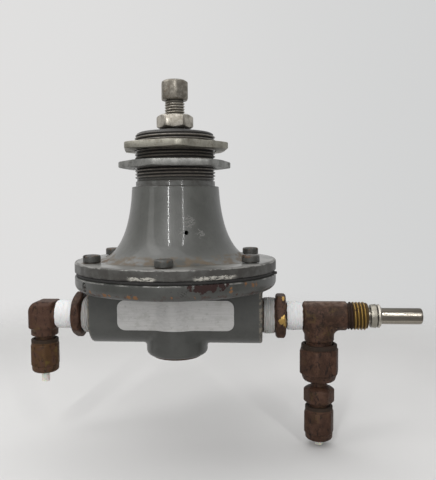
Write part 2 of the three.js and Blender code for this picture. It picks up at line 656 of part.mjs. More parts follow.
// Elbow about its own centre: inlet stub along +X, tube socket along -Z, outer corner bevelled
function makeElbow() {
  const { axis, pipeStart, halfWidth, drop, edge, bevel } = ELBOW;
  const { collar, collarEnd, threadEnd, waterway } = ELBOW_SOCKET;
  const block = weld(new THREE.ExtrudeGeometry(roundedSquare(halfWidth, edge), {
    depth: halfWidth + drop, bevelEnabled: false, curveSegments: 4,
  })).translate(0, 0, -drop);
  const corner = new THREE.BoxGeometry(bevel * 2, 4 * halfWidth, bevel * 2).rotateY(Math.PI / 4);
  const reach = halfWidth - bevel / 2 + bevel / Math.SQRT2;
  const pipeThread = alongPort(rod(PIPE_THREAD_R, halfWidth - edge, axis - pipeStart), 1);
  const solid = join(
    cut(block, corner.translate(-reach, 0, reach)), pipeThread,
    rod(collar, -collarEnd, -halfWidth), rod(SMALL_THREAD_R, -threadEnd, -halfWidth - 1),
  );
  return cut(solid,
    alongPort(rod(waterway, 0, axis, HIDDEN_SIDES), 1),
    rod(SMALL_TUBE_R + FIT, -threadEnd - 1, 0, HIDDEN_SIDES));
}

// Run tee about the crossing of its axes: pipe stub along -X, run along +X, branch along -Z
function makeTee() {
  const [pipeStart, start] = [TEE.pipeStart - TEE.axis, TEE.start - TEE.axis];
  const [barrelEnd, threadEnd] = [TEE.barrelEnd - TEE.axis, TEE.threadEnd - TEE.axis];
  const { radius: waterway, socketDepth } = TEE_WATERWAY;
  const tubeBore = LARGE_TUBE_R + FIT;
  const run = turned([
    [0, pipeStart], [PIPE_THREAD_R, pipeStart], [PIPE_THREAD_R, start],
    [TEE.radius, start], [TEE.radius, barrelEnd - 0.4], [TEE.radius - 0.4, barrelEnd],
    ...threadRidges(LARGE_THREAD_R - THREAD_DEPTH, LARGE_THREAD_R, LARGE_PITCH, barrelEnd + 0.2, threadEnd),
    [0, threadEnd],
  ]);
  const branch = turned([
    [0, -TEE_BRANCH.threadEnd], [LARGE_THREAD_R, -TEE_BRANCH.threadEnd],
    [LARGE_THREAD_R, -TEE_BRANCH.collarEnd], [TEE_BRANCH.radius, -TEE_BRANCH.collarEnd],
    [TEE_BRANCH.radius, 0], [0, 0],
  ]);
  const runBore = turned([
    [0, pipeStart - 1], [waterway, pipeStart - 1], [waterway, threadEnd - socketDepth],
    [tubeBore, threadEnd - socketDepth], [tubeBore, threadEnd + 1], [0, threadEnd + 1],
  ]);
  const branchBore = turned([
    [0, -TEE_BRANCH.threadEnd - 1], [tubeBore, -TEE_BRANCH.threadEnd - 1],
    [tubeBore, socketDepth - TEE_BRANCH.threadEnd], [waterway, socketDepth - TEE_BRANCH.threadEnd],
    [waterway, 0], [0, 0],
  ]);
  return cut(join(alongPort(run, 1), branch), alongPort(runBore, 1), branchBore);
}

// Steel rod that closes the tee's run, about +Z
function makeRunPlug() {
  const { start, end } = RUN_PLUG;
  return turned([
    [0, start], [LARGE_TUBE_R, start], [LARGE_TUBE_R, end - 0.9], [LARGE_TUBE_R - 0.3, end - 0.3],
    [LARGE_TUBE_R - 0.9, end], [0, end],
  ]);
}

// Reducer: large tube stub up into the branch nut, hexagon, small tube socket below
function makeReducer() {
  const [hexTop, hexBottom] = [REDUCER_HEX_TOP_Z, REDUCER_HEX_BOTTOM_Z];
  const { flats, turn, stubTop, threadLength } = REDUCER;
  const hexagon = chamferedHex(flats, hexBottom, hexTop, { corner: turn, chamfer: 1.2, slope: 0.5 });
  const stub = rod(LARGE_TUBE_R, hexTop - 1, stubTop);
  const thread = rod(SMALL_THREAD_R, hexBottom - threadLength, hexBottom + 1);
  const bore = rod(SMALL_TUBE_R + FIT, hexBottom - threadLength - 1, stubTop + 1, HIDDEN_SIDES);
  return cut(join(hexagon, stub, thread), bore);
}

// ---------------------------------------------------------------------------------------------
// Assembly
// ---------------------------------------------------------------------------------------------

const FINISH = {
  enamel: { color: 0x6a6b66, roughness: 0.45, metalness: 0.1 },
  label: { color: 0xa5a19c, roughness: 0.5, metalness: 0.4 },
  plated: { color: 0x6e665c, roughness: 0.45, metalness: 0.8 },
  steel: { color: 0x8f8b84, roughness: 0.35, metalness: 0.9 },
  nickel: { color: 0xb8b0a2, roughness: 0.25, metalness: 1.0 },
  brass: { color: 0x9a7a3c, roughness: 0.4, metalness: 0.9 },
  patina: { color: 0x3d2e28, roughness: 0.6, metalness: 0.6 },
  rubber: { color: 0x1d1c1a, roughness: 0.8, metalness: 0.0 },
  tape: { color: 0xd9d8d4, roughness: 0.7, metalness: 0.0 },
  nylon: { color: 0xc9c8c0, roughness: 0.5, metalness: 0.0 },
};

function piece(name, geometry, finish) {
  geometry.computeVertexNormals();
  const mesh = new THREE.Mesh(geometry, new THREE.MeshStandardMaterial(FINISH[finish]));
  mesh.name = name;
  return mesh;
}

function placed(mesh, x, y, z, turn = 0) {
  mesh.position.set(x, y, z);
  mesh.rotation.z = radians(turn);
  return mesh;
}

function housing() {
  const group = new THREE.Group();
  group.add(
    piece('body', makeBody(), 'enamel'),
    piece('bonnet', makeBonnet(), 'enamel'),
    piece('label', makeLabel(), 'label'),
    piece('passage_plug', makePassagePlug(), 'steel'),
    piece('diaphragm', makeDiaphragm(), 'rubber'),
    piece('bottom_plug', makeBottomPlug(), 'brass'),
    piece('bottom_plug_seal', makePlugSeal(), 'rubber'),
  );
  for (let i = 0; i < SCREW_COUNT; i++) {
    const angle = radians(SCREW_CIRCLE_TURN - 90 + (i * 360) / SCREW_COUNT);
    const screw = piece(`bonnet_screw_${i + 1}`, makeFlangeScrew(), 'plated');
    const [x, y] = [SCREW_CIRCLE_R * Math.cos(angle), SCREW_CIRCLE_R * Math.sin(angle)];
    group.add(placed(screw, x, y, 0, SCREW_SLOT_TURNS[i]));
  }
  return group;
}

function neck() {
  const group = new THREE.Group();
  const nut = makePanelNut();
  group.add(
    placed(piece('panel_nut_lower', nut.clone(), 'plated'), 0, 0, PANEL_NUT_LOWER_Z, PANEL_NUT_LOWER_TURN),
    placed(piece('panel_nut_upper', nut.clone(), 'plated'), 0, 0, PANEL_NUT_UPPER_Z, PANEL_NUT_UPPER_TURN),
    placed(piece('jam_nut', makeJamNut(), 'steel'), 0, 0, JAM_NUT_Z, JAM_NUT_TURN),
    piece('adjusting_screw', makeAdjustingScrew(), 'steel'),
    piece('spring_button', makeSpringButton(), 'steel'),
  );
  return group;
}

function springPack() {
  const group = new THREE.Group();
  const rangeBottom = PLATE_TOP_Z + FIT;
  const rangeTop = BUTTON_TOP_Z - BUTTON_H - FIT;
  const valveTop = SEAT_BOTTOM_Z - FIT - PLUNGER_HEAD.height - FIT;
  group.add(
    piece('pressure_plate', makePressurePlate(), 'plated'),
    piece('relief_seat', makeReliefSeat(), 'brass'),
    piece('hub_nut', makeHubNut(), 'brass'),
    piece('range_spring', coil(RANGE_SPRING, rangeBottom, rangeTop), 'steel'),
    piece('valve_seat', makeValveSeat(), 'brass'),
    piece('valve_plunger', makeValvePlunger(), 'brass'),
    piece('valve_spring', coil(VALVE_SPRING, POST_TOP_Z + FIT, valveTop), 'steel'),
  );
  return group;
}

// Small tube nut with what it clamps, hanging under the point (x, 0, top)
function smallTubeJoint(prefix, x, top, corner, tubeLength) {
  const group = new THREE.Group();
  group.position.set(x, 0, top);
  const clamp = NUT_FLOOR + FIT + BACK_FERRULE_H - SMALL_NUT.length;
  const backFerrule = piece(`${prefix}_back_ferrule`, makeBackFerrule(SMALL_TUBE_R, SMALL_FERRULE_R),
    'brass');
  const frontFerrule = piece(`${prefix}_front_ferrule`, makeFrontFerrule(SMALL_TUBE_R, SMALL_FERRULE_R),
    'brass');
  group.add(
    piece(`${prefix}_tube_nut`, makeTubeNut({ ...SMALL_NUT, corner }), 'patina'),
    placed(backFerrule, 0, 0, clamp),
    placed(frontFerrule, 0, 0, clamp + FIT + FRONT_FERRULE_H),
    piece(`${prefix}_tube`, makeTube(SMALL_TUBE_R, -SMALL_NUT.length - tubeLength, -2), 'nylon'),
  );
  return group;
}

// Tape on the bushing's own thread, showing between the port face and the bushing's hexagon
function portTape(portFace, [hexStart]) {
  return makeTapeWrap(BUSHING_THREAD_R + FIT, portFace + FIT, hexStart - FIT);
}

// Tape on a fitting's thread, showing between the bushing's hexagon and the fitting
function fittingTape([, hexEnd], fittingStart) {
  return makeTapeWrap(PIPE_THREAD_R + FIT, hexEnd + FIT, fittingStart - FIT);
}

function leftPort() {
  const group = new THREE.Group();
  const onAxis = new THREE.Group();
  onAxis.position.z = PORT_Z;
  onAxis.rotation.y = -Math.PI / 2;
  onAxis.add(
    piece('left_port_tape', portTape(PORT_FACE.left, LEFT_BUSHING_HEX), 'tape'),
    piece('left_bushing', makeBushing(LEFT_BUSHING_HEX, 90), 'patina'),
    piece('left_elbow_tape', fittingTape(LEFT_BUSHING_HEX, ELBOW.axis - ELBOW.halfWidth), 'tape'),
  );
  group.add(
    onAxis,
    placed(piece('left_elbow', makeElbow(), 'patina'), -ELBOW.axis, 0, PORT_Z),
    smallTubeJoint('left', -ELBOW.axis, LEFT_NUT_TOP_Z, LEFT_NUT_TURN, LEFT_TUBE_LENGTH),
  );
  return group;
}

function rightPort() {
  const group = new THREE.Group();
  const onAxis = new THREE.Group();
  onAxis.position.z = PORT_Z;
  onAxis.rotation.y = Math.PI / 2;
  const backFerrule = piece('run_back_ferrule',
    makeBackFerrule(LARGE_TUBE_R, RUN_BACK_FERRULE.radius), 'steel');
  const frontFerrule = piece('run_front_ferrule', makeFrontFerrule(LARGE_TUBE_R, LARGE_FERRULE_R), 'nickel');
  for (const [ferrule, end] of [[frontFerrule, RUN_FRONT_FERRULE_END], [backFerrule, RUN_BACK_FERRULE.end]]) {
    ferrule.rotation.x = Math.PI;
    ferrule.position.z = end;
  }
  onAxis.add(
    piece('right_port_tape', portTape(PORT_FACE.right, RIGHT_BUSHING_HEX), 'tape'),
    piece('right_bushing', makeBushing(RIGHT_BUSHING_HEX, 0), 'patina'),
    piece('right_tee_tape', fittingTape(RIGHT_BUSHING_HEX, TEE.start), 'tape'),
    frontFerrule,
    backFerrule,
    piece('run_plug', makeRunPlug(), 'nickel'),
  );
  const branchX = TEE.axis;
  const clamp = BRANCH_NUT_TOP_Z - LARGE_NUT.length + NUT_FLOOR + FIT + BACK_FERRULE_H;
  const branchNut = piece('branch_nut', makeTubeNut({ ...LARGE_NUT, corner: BRANCH_NUT_TURN }), 'patina');
  const branchBack = piece('branch_back_ferrule', makeBackFerrule(LARGE_TUBE_R, LARGE_FERRULE_R), 'brass');
  const branchFront = piece('branch_front_ferrule', makeFrontFerrule(LARGE_TUBE_R, LARGE_FERRULE_R), 'brass');
  group.add(
    onAxis,
    placed(piece('run_tee', makeTee(), 'patina'), branchX, 0, PORT_Z),
    placed(branchNut, branchX, 0, BRANCH_NUT_TOP_Z),
    placed(branchBack, branchX, 0, clamp),
    placed(branchFront, branchX, 0, clamp + FIT + FRONT_FERRULE_H),
    placed(piece('reducer', makeReducer(), 'patina'), branchX, 0, 0),
    smallTubeJoint('lower', branchX, LOWER_NUT_TOP_Z, LOWER_NUT_TURN, LOWER_TUBE_LENGTH),
  );
  return group;
}

const regulator = new THREE.Group();
regulator.add(housing(), neck(), springPack(), leftPort(), rightPort());

export default regulator;
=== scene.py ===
"""Looks of the air pressure regulator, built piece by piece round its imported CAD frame.

Shapes are worked out in millimetres, in the row frame (+Z up the adjusting screw, +X towards the
closed run port, -Y towards the label), and scaled to metres when a mesh is made.
"""

from functools import reduce
import math

import bmesh
import bpy
import numpy as np
from mathutils import Matrix, Vector, noise


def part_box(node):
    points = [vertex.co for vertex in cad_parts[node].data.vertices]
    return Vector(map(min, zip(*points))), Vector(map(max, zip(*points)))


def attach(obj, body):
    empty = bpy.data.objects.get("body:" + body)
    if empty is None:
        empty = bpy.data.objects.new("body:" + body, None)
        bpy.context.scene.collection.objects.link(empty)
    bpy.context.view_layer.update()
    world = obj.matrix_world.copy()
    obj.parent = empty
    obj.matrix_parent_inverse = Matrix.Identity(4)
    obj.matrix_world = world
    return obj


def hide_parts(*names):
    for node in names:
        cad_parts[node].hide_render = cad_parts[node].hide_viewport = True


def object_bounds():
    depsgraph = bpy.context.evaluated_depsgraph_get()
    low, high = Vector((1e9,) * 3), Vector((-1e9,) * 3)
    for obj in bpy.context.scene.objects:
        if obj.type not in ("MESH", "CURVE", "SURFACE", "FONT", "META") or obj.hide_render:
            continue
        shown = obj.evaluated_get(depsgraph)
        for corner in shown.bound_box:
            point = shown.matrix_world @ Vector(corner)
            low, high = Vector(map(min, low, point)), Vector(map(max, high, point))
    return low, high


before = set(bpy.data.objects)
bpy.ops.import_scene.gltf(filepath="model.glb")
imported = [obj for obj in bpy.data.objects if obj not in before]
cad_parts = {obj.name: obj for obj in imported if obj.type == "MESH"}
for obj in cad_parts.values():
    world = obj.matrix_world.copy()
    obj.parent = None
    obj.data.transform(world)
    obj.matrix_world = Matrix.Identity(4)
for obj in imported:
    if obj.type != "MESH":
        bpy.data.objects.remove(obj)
cad_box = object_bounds()

MM = 0.001
TAU = 2 * math.pi
SIXTH = math.pi / 3
FRONT = -math.pi / 2

# Sizes that the frame's boxes can't give, in millimetres: X and Z are places in the row frame, R a radius
PORT_Z = 16.4
FLANGE_R, FLANGE_BOTTOM_Z = 39.9, 28.1
CHAMBER_R = 29.0
CHAMBER_FLOOR_Z = 30.1
BELL = [(29.9, 39.3), (22.1, 41.8), (18.0, 52.7), (17.3, 68.0)]
BELL_WALL = 3.0
NECK_ROOT_R, NECK_LAND_R, NECK_CREST_R, NECK_PITCH = 15.1, 15.75, 15.95, 1.27
NECK_BORE_R, LAND_TOP_Z, NECK_TOP_Z = 12.8, 70.3, 89.1
SCREW_CREST_R, SCREW_ROOT_R, SCREW_PITCH = 3.97, 3.42, 1.0583
SCREW_HEAD_H = 2.8
VENT_R, VENT_Z, VENT_ANGLE = 0.85, 50.6, FRONT + math.radians(19)
VENT_SKIN_R = 18.6
SCREW_HOLE_R = 2.35
BOSS_R, PORT_BOSS_R, PORT_BOSS_TOP_Z = 12.35, 11.1, 30.0
LEFT_BOSS_X, RIGHT_BOSS_X = -34.0, 34.5
PIPE_R, SMALL_THREAD_R, LARGE_THREAD_R, LARGE_PITCH = 5.15, 3.97, 5.56, 1.27
SMALL_TUBE_R, LARGE_TUBE_R = 1.6, 3.175
NPT_QUARTER_PITCH, NPT_EIGHTH_PITCH = 1.411, 0.941
PANEL_NUT_FLATS, JAM_NUT_FLATS, SCREW_HEAD_FLATS = 39.7, 13.0, 10.2
BUSHING_FLATS, SMALL_NUT_FLATS, LARGE_NUT_FLATS = 16.7, 11.1, 14.7
TEE_BARREL = (50.7, 67.7)
CASTING_GRID, FITTING_GRID = 0.62, 0.36


# ---- Frame ----


def from_front(degrees):
    return FRONT + math.radians(degrees)


def extent(node):
    """Lowest corner, highest corner and centre of a CAD node, in millimetres."""
    low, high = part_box(node)
    return low / MM, high / MM, (low + high) / (2 * MM)


# ---- Surfaces: a patch is (points, faces), in millimetres ----


def rounded(corners, steps=4):
    """Outline through (radius, height) corners; a third number turns the corner into an arc."""
    outline = []
    for i, corner in enumerate(corners):
        here = Vector(corner[:2])
        if len(corner) == 2:
            outline.append(tuple(here))
            continue
        before, after = Vector(corners[i - 1][:2]) - here, Vector(corners[i + 1][:2]) - here
        half = before.angle(after) / 2
        reach = min(corner[2] / math.tan(half), 0.49 * before.length, 0.49 * after.length)
        start, end = here + before.normalized() * reach, here + after.normalized() * reach
        for k in range(steps + 1):
            t = k / steps
            outline.append(tuple(start * (1 - t) ** 2 + here * (2 * t * (1 - t)) + end * t * t))
    return outline


def bezier(a, b, c, d, steps):
    a, b, c, d = (np.array(p, float) for p in (a, b, c, d))
    t = np.linspace(0, 1, steps + 1)[:, None]
    curve = a * (1 - t) ** 3 + 3 * b * t * (1 - t) ** 2 + 3 * c * t * t * (1 - t) + d * t**3
    return [tuple(p) for p in curve]


def revolve(rings, sides=64, start=0.0):
    """Skin through rings about +Z. A ring is (radius, height), or a function of the angles giving both."""
    angles = start + TAU * np.arange(sides) / sides
    points, faces, firsts = [], [], []
    for ring in rings:
        radius, height = ring(angles) if callable(ring) else ring
        firsts.append(len(points))
        if np.ndim(radius) == 0 and radius == 0:
            points.append((0.0, 0.0, float(height)))
            continue
        radius, height = np.broadcast_to(radius, sides), np.broadcast_to(height, sides)
        points.extend(zip(radius * np.cos(angles), radius * np.sin(angles), height))
    firsts.append(len(points))
    for a, b, c in zip(firsts, firsts[1:], firsts[2:]):
        for i in range(sides):
            j = (i + 1) % sides
            lower = [a] if b - a == 1 else [a + i, a + j]
            upper = [b] if c - b == 1 else [b + j, b + i]
            faces.append(tuple(lower + upper))
    return points, faces


def ring_of(outline, sides=64, start=0.0):
    """A closed ring: its outline leaves the axis clear and comes back to where it began."""
    return revolve(outline + outline[:1], sides, start)


def thread(root, crest, pitch, bottom, top, sides=64):
    """Helical ridge between two plain circles of the root radius. Rows climb one pitch a turn."""
    ridge = np.array([0.0, 0.3, 0.85, 1.0, 0.85, 0.3])
    per_turn = len(ridge)
    rows = int(math.ceil((top - bottom) / pitch * per_turn)) + per_turn + 1
    row, column = np.meshgrid(np.arange(rows), np.arange(sides), indexing="ij")
    height = np.clip(bottom - pitch + pitch * (row / per_turn + column / sides), bottom, top)
    fade = np.clip(np.minimum(height - bottom, top - height) / (0.8 * pitch), 0, 1)
    radius = root + (crest - root) * ridge[row % per_turn] * fade
    angle = TAU * column / sides
    points = np.stack([radius * np.cos(angle), radius * np.sin(angle), height], -1).reshape(-1, 3)
    faces = []
    for r in range(rows - 1):
        for c in range(sides):
            low, high = r * sides + c + 1, (r + 1) * sides + c + 1
            if c == sides - 1:
                low = min(r + per_turn, rows - 1) * sides
                high = min(r + 1 + per_turn, rows - 1) * sides
            faces.append((r * sides + c, low, high, (r + 1) * sides + c))
    return [tuple(p) for p in points], faces


def both(*patches):
    """Patches taken together as one."""
    points, faces = [], []
    for more_points, more_faces in patches:
        shift = len(points)
        points.extend(more_points)
        faces.extend(tuple(i + shift for i in face) for face in more_faces)
    return points, faces


def moved(patch, place):
    return [tuple(place @ Vector(p)) for p in patch[0]], patch[1]


def rod(radius, bottom, top, sides=32, edge=0.0):
    return revolve(rounded([(0, bottom), (radius, bottom, edge), (radius, top, edge), (0, top)]), sides)


def wander(angles, radius, seed):
    """Smooth random wave round a turn, between about -1 and 1."""
    return np.array([noise.noise((radius * math.cos(a), radius * math.sin(a), seed)) for a in angles])


def box_patch(low, high):
    corners = [(x, y, z) for x in (low[0], high[0]) for y in (low[1], high[1]) for z in (low[2], high[2])]
    return corners, [(0, 1, 3, 2), (4, 6, 7, 5), (0, 4, 5, 1), (2, 3, 7, 6), (0, 2, 6, 4), (1, 5, 7, 3)]


def at(x, y, z):
    return Matrix.Translation((x, y, z))


ALONG_X = Matrix.Rotation(math.pi / 2, 4, "Y")
ALONG_MINUS_X = Matrix.Rotation(-math.pi / 2, 4, "Y")
PORT_AXIS = at(0, 0, PORT_Z) @ ALONG_X


# ---- Hexagons ----


def hexagon(flats, corner, soften):
    """Radius of a hexagon at each angle, its corners eased by `soften`."""
    apothem = flats / 2
    limit = apothem / math.cos(math.pi / 6) - soften
    sharp = max(soften, 0.02) / 2

    def radius(angles):
        off = np.abs((angles - corner + SIXTH / 2) % SIXTH - SIXTH / 2)
        side = apothem / np.cos(SIXTH / 2 - off)
        return -sharp * np.log(np.exp(-side / sharp) + np.exp(-limit / sharp))

    return radius


def hex_band(flats, bottom, top, corner, faces=(0.4, 0.4), slope=0.58, edge=0.18, soften=0.25):
    """Rings up the side of a hexagon, turned down at each end to flats / 2 - faces."""
    side = hexagon(flats, corner, soften)
    low_face, high_face = flats / 2 - faces[0], flats / 2 - faces[1]

    def ring(end, face, up, inset, lift):
        def at_angles(angles):
            r = side(angles) - inset
            return r, end + up * (np.maximum(r - face, 0) * slope + lift)
        return at_angles

    eased = ((edge, 0), (0.3 * edge, 0.3 * edge), (0, edge))
    low = [ring(bottom, low_face, 1, inset, lift) for inset, lift in eased]
    high = [ring(top, high_face, -1, inset, lift) for inset, lift in reversed(eased)]
    return [(low_face, bottom)] + low + high + [(high_face, top)]


def nut(flats, bottom, top, bore, corner, countersink=0.5, **form):
    sink = [(bore, bottom + countersink), (bore + countersink, bottom)]
    rings = sink + hex_band(flats, bottom, top, corner, **form)
    rings += [(bore + countersink, top), (bore, top - countersink)]
    return ring_of(rings, 96, corner)


# ---- Castings: a shape is a signed distance, blended with round fillets and skinned on a grid ----


def puck(radial, along, radius, low, high, low_edge, high_edge):
    """Distance to a cylinder with rounded ends. `radial` is the distance from its axis."""
    middle, half = (low + high) / 2, (high - low) / 2
    edge = np.where(along < middle, low_edge, high_edge)
    a, b = radial - radius + edge, np.abs(along - middle) - half + edge
    return np.minimum(np.maximum(a, b), 0) + np.hypot(np.maximum(a, 0), np.maximum(b, 0)) - edge


def joined(a, b, fillet):
    """Union of two shapes, with a round fillet where they meet."""
    corner = np.hypot(np.maximum(fillet - a, 0), np.maximum(fillet - b, 0))
    return np.maximum(fillet, np.minimum(a, b)) - corner


def kept(a, b, edge):
    """Part of shape a inside shape b, with a round edge where they meet."""
    corner = np.hypot(np.maximum(edge + a, 0), np.maximum(edge + b, 0))
    return np.minimum(-edge, np.maximum(a, b)) + corner


def slope_of(shape, points, small=0.02):
    """Gradient of a shape at each point."""
    columns = []
    for axis in range(3):
        step = np.zeros(3)
        step[axis] = small
        columns.append(shape(*(points + step).T) - shape(*(points - step).T))
    return np.stack(columns, -1) / (2 * small)


def settle(shape, points, faces, step):
    """Evens out a skin and lays it exactly on its shape."""
    ring = np.array(faces)
    pairs = np.concatenate([ring[:, [i, (i + 1) % 4]] for i in range(4)])
    for turn in range(6):
        if turn in (1, 2, 3):
            total, count = np.zeros_like(points), np.zeros(len(points))
            for a, b in (pairs.T, pairs.T[::-1]):
                np.add.at(total, a, points[b])
                np.add.at(count, a, 1)
            points = 0.5 * points + 0.5 * total / count[:, None]
        gradient = slope_of(shape, points)
        size = np.maximum((gradient**2).sum(1), 0.05)
        move = (shape(*points.T) / size)[:, None] * gradient
        points = points - np.clip(move, -step, step)
    return points


def cast(shape, low, high, step):
    """Closed skin of a shape inside the box from low to high."""
    low = np.array(low, float) - 1.5 * step
    counts = np.ceil((np.array(high, float) - low) / step).astype(int) + 3
    axes = [low[i] + step * np.arange(counts[i]) for i in range(3)]
    inside = shape(*np.meshgrid(*axes, indexing="ij")) < 0
    corners = sum(
        inside[i:counts[0] - 1 + i, j:counts[1] - 1 + j, k:counts[2] - 1 + k].astype(int)
        for i in (0, 1) for j in (0, 1) for k in (0, 1)
    )
    active = (corners > 0) & (corners < 8)
    index = np.cumsum(active).reshape(active.shape) - 1
    points = low + (np.argwhere(active) + 0.5) * step
    faces = []
    for axis in range(3):
        first = np.moveaxis(inside, axis, 0)
        cells = np.moveaxis(index, axis, 0)
        crossing = first[:-1] != first[1:]
        i, j, k = np.nonzero(crossing[:, 1:-1, 1:-1])
        j, k = j + 1, k + 1
        around = cells[i, j, k], cells[i, j - 1, k], cells[i, j - 1, k - 1], cells[i, j, k - 1]
        faces.append(np.stack(around, -1))
    faces = np.concatenate(faces)
    points = settle(shape, points, faces, step)
    return [tuple(p) for p in points], [tuple(f) for f in faces]


# ---- Objects ----


def mesh_object(name, patch, place=None):
    """Closed mesh of a patch, in metres, with its seams merged and its faces pointing out."""
    if place is not None:
        patch = moved(patch, place)
    mesh = bpy.data.meshes.new(name)
    mesh.from_pydata([tuple(c * MM for c in p) for p in patch[0]], [], patch[1])
    work = bmesh.new()
    work.from_mesh(mesh)
    bmesh.ops.remove_doubles(work, verts=work.verts, dist=2e-6)
    bmesh.ops.dissolve_degenerate(work, edges=work.edges, dist=1e-6)
    bmesh.ops.recalc_face_normals(work, faces=work.faces)
    work.to_mesh(mesh)
    work.free()
    made = bpy.data.objects.new(name, mesh)
    bpy.context.scene.collection.objects.link(made)
    return made


def combined(made, operation, *patches):
    """Adds patches to a closed mesh, or cuts them out of it."""
    tools = [mesh_object("tool", patch) for patch in patches]
    for tool in tools:
        step = made.modifiers.new("step", "BOOLEAN")
        step.operation, step.solver, step.object = operation, "MANIFOLD", tool
    graph = bpy.context.evaluated_depsgraph_get()
    mesh = bpy.data.meshes.new_from_object(made.evaluated_get(graph))
    made.modifiers.clear()
    made.data = mesh
    for tool in tools:
        bpy.data.objects.remove(tool)
    return made


def carved(made, *patches):
    return combined(made, "DIFFERENCE", *patches)


def finished(made, node, material, body="housing", crisp=32):
    """Shades a piece, gives it its finish and its body, and stands it in for its CAD node."""
    mesh = made.data
    mesh.polygons.foreach_set("use_smooth", [True] * len(mesh.polygons))
    mesh.set_sharp_from_angle(angle=math.radians(crisp))
    mesh.materials.clear()
    mesh.materials.append(material)
    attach(made, body)
    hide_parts(node)


def piece(name, patch, node, material, place=None, body="housing", crisp=32):
    """A finished piece straight from its patch."""
    finished(mesh_object(name, patch, place), node, material, body, crisp)


# ---- Finishes ----


class Finish:
    """One procedural material: a Principled surface and the patterns that vary it over the piece."""

    def __init__(self, name, colour, metallic, roughness, **sockets):
        self.material = bpy.data.materials.new(name)
        self.material.use_nodes = True
        self.material.diffuse_color = (*colour, 1)
        self.tree = self.material.node_tree
        self.shader = self.tree.nodes["Principled BSDF"]
        self.colour = colour
        self.rough = roughness
        self.metal = metallic
        self.shader.inputs["Base Color"].default_value = (*colour, 1)
        self.shader.inputs["Metallic"].default_value = metallic
        self.shader.inputs["Roughness"].default_value = roughness
        for socket, value in sockets.items():
            self.shader.inputs[socket.replace("_", " ")].default_value = value
        where = self.node("ShaderNodeTexCoord").outputs["Object"]
        self.place = self.vector("MULTIPLY", where, (1 / MM,) * 3)
        split = self.node("ShaderNodeSeparateXYZ")
        self.link(self.place, split.inputs[0])
        self.x, self.y, self.z = split.outputs

    def node(self, kind, **settings):
        made = self.tree.nodes.new(kind)
        for name, value in settings.items():
            setattr(made, name, value)
        return made

    def link(self, value, socket):
        if isinstance(value, bpy.types.NodeSocket):
            self.tree.links.new(value, socket)
        elif isinstance(value, (tuple, list)) and socket.type == "RGBA":
            socket.default_value = (*value, 1)
        else:
            socket.default_value = value

    def math(self, operation, a, b=0.0):
        made = self.node("ShaderNodeMath", operation=operation)
        self.link(a, made.inputs[0])
        self.link(b, made.inputs[1])
        return made.outputs[0]

    def vector(self, operation, a, b):
        made = self.node("ShaderNodeVectorMath", operation=operation)
        self.link(a, made.inputs[0])
        self.link(b, made.inputs[1])
        return made.outputs["Value" if operation in ("LENGTH", "DISTANCE") else "Vector"]

    def from_axis(self, centre, across):
        """Distance from an axis through `centre`; `across` has 0 along the axis and 1 across it."""
        off = self.vector("SUBTRACT", self.place, centre)
        return self.vector("LENGTH", self.vector("MULTIPLY", off, across), (0, 0, 0))

    def noise(self, size, detail=3.0, coarse=0.55, stretch=(1, 1, 1), seed=0.0):
        """Smooth random pattern whose features are about `size` millimetres."""
        scaled = self.vector("MULTIPLY", self.place, tuple(s / size for s in stretch))
        made = self.node("ShaderNodeTexNoise")
        self.link(self.vector("ADD", scaled, (seed, 1.7 * seed, 2.3 * seed)), made.inputs["Vector"])
        made.inputs["Scale"].default_value = 1.0
        made.inputs["Detail"].default_value = detail
        made.inputs["Roughness"].default_value = coarse
        return made.outputs[0]

    def ramp(self, value, low, high, start=0.0, end=1.0):
        made = self.node("ShaderNodeMapRange", interpolation_type="SMOOTHSTEP")
        self.link(value, made.inputs["Value"])
        for name, number in (("From Min", low), ("From Max", high), ("To Min", start), ("To Max", end)):
            self.link(number, made.inputs[name])
        return made.outputs[0]

    def cloud(self, size, detail, coarse, low, high, most=1.0, **pattern):
        """Patches: 0 where the noise is under `low`, rising to `most` where it is over `high`."""
        return self.ramp(self.noise(size, detail, coarse, **pattern), low, high, 0, most)

    def band(self, value, low, high, soft):
        """1 between low and high, fading over `soft` outside them."""
        up = self.ramp(value, low - soft, low)
        down = self.ramp(value, high, high + soft, 1, 0)
        return self.math("MULTIPLY", up, down)

    def times(self, *masks):
        return reduce(lambda a, b: self.math("MULTIPLY", a, b), masks)

    def most(self, *masks):
        return reduce(lambda a, b: self.math("MAXIMUM", a, b), masks)

    def mix(self, mask, a, b):
        made = self.node("ShaderNodeMix", data_type="RGBA")
        self.link(mask, made.inputs[0])
        self.link(a, made.inputs[6])
        self.link(b, made.inputs[7])
        return made.outputs[2]

    def spots(self, places, ragged=0.5, size=1.2, seed=0.0):
        """1 inside ragged spots given as (x, y, z, radius)."""
        nearest = 50.0
        for x, y, z, radius in places:
            off = self.math("SUBTRACT", self.vector("DISTANCE", self.place, (x, y, z)), radius)
            nearest = self.math("MINIMUM", off, nearest)
        swing = self.math("SUBTRACT", self.noise(size, 4, 0.6, seed=seed), 0.5)
        rough_edge = self.math("MULTIPLY", swing, 4 * ragged)
        return self.ramp(self.math("ADD", nearest, rough_edge), -0.12, 0.12, 1, 0)

    def bent(self):
        """Convexity of the mesh at each point: above 0.5 on outer edges, below it in inner corners."""
        return self.node("ShaderNodeNewGeometry").outputs["Pointiness"]

    def paint(self, mask, colour, rough=None, metal=None):
        """Lays a colour over what is there, where mask is 1."""
        self.colour = self.mix(mask, self.colour, colour)
        if rough is not None:
            self.rough = self.blend_value(mask, self.rough, rough)
        if metal is not None:
            self.metal = self.blend_value(mask, self.metal, metal)

    def blend_value(self, mask, a, b):
        return self.math("ADD", a, self.math("MULTIPLY", mask, self.math("SUBTRACT", b, a)))

    def matt(self, mask, gloss):
        """Takes the clear coat off where mask is 1."""
        self.link(self.ramp(mask, 0, 1, gloss, 0), self.shader.inputs["Coat Weight"])

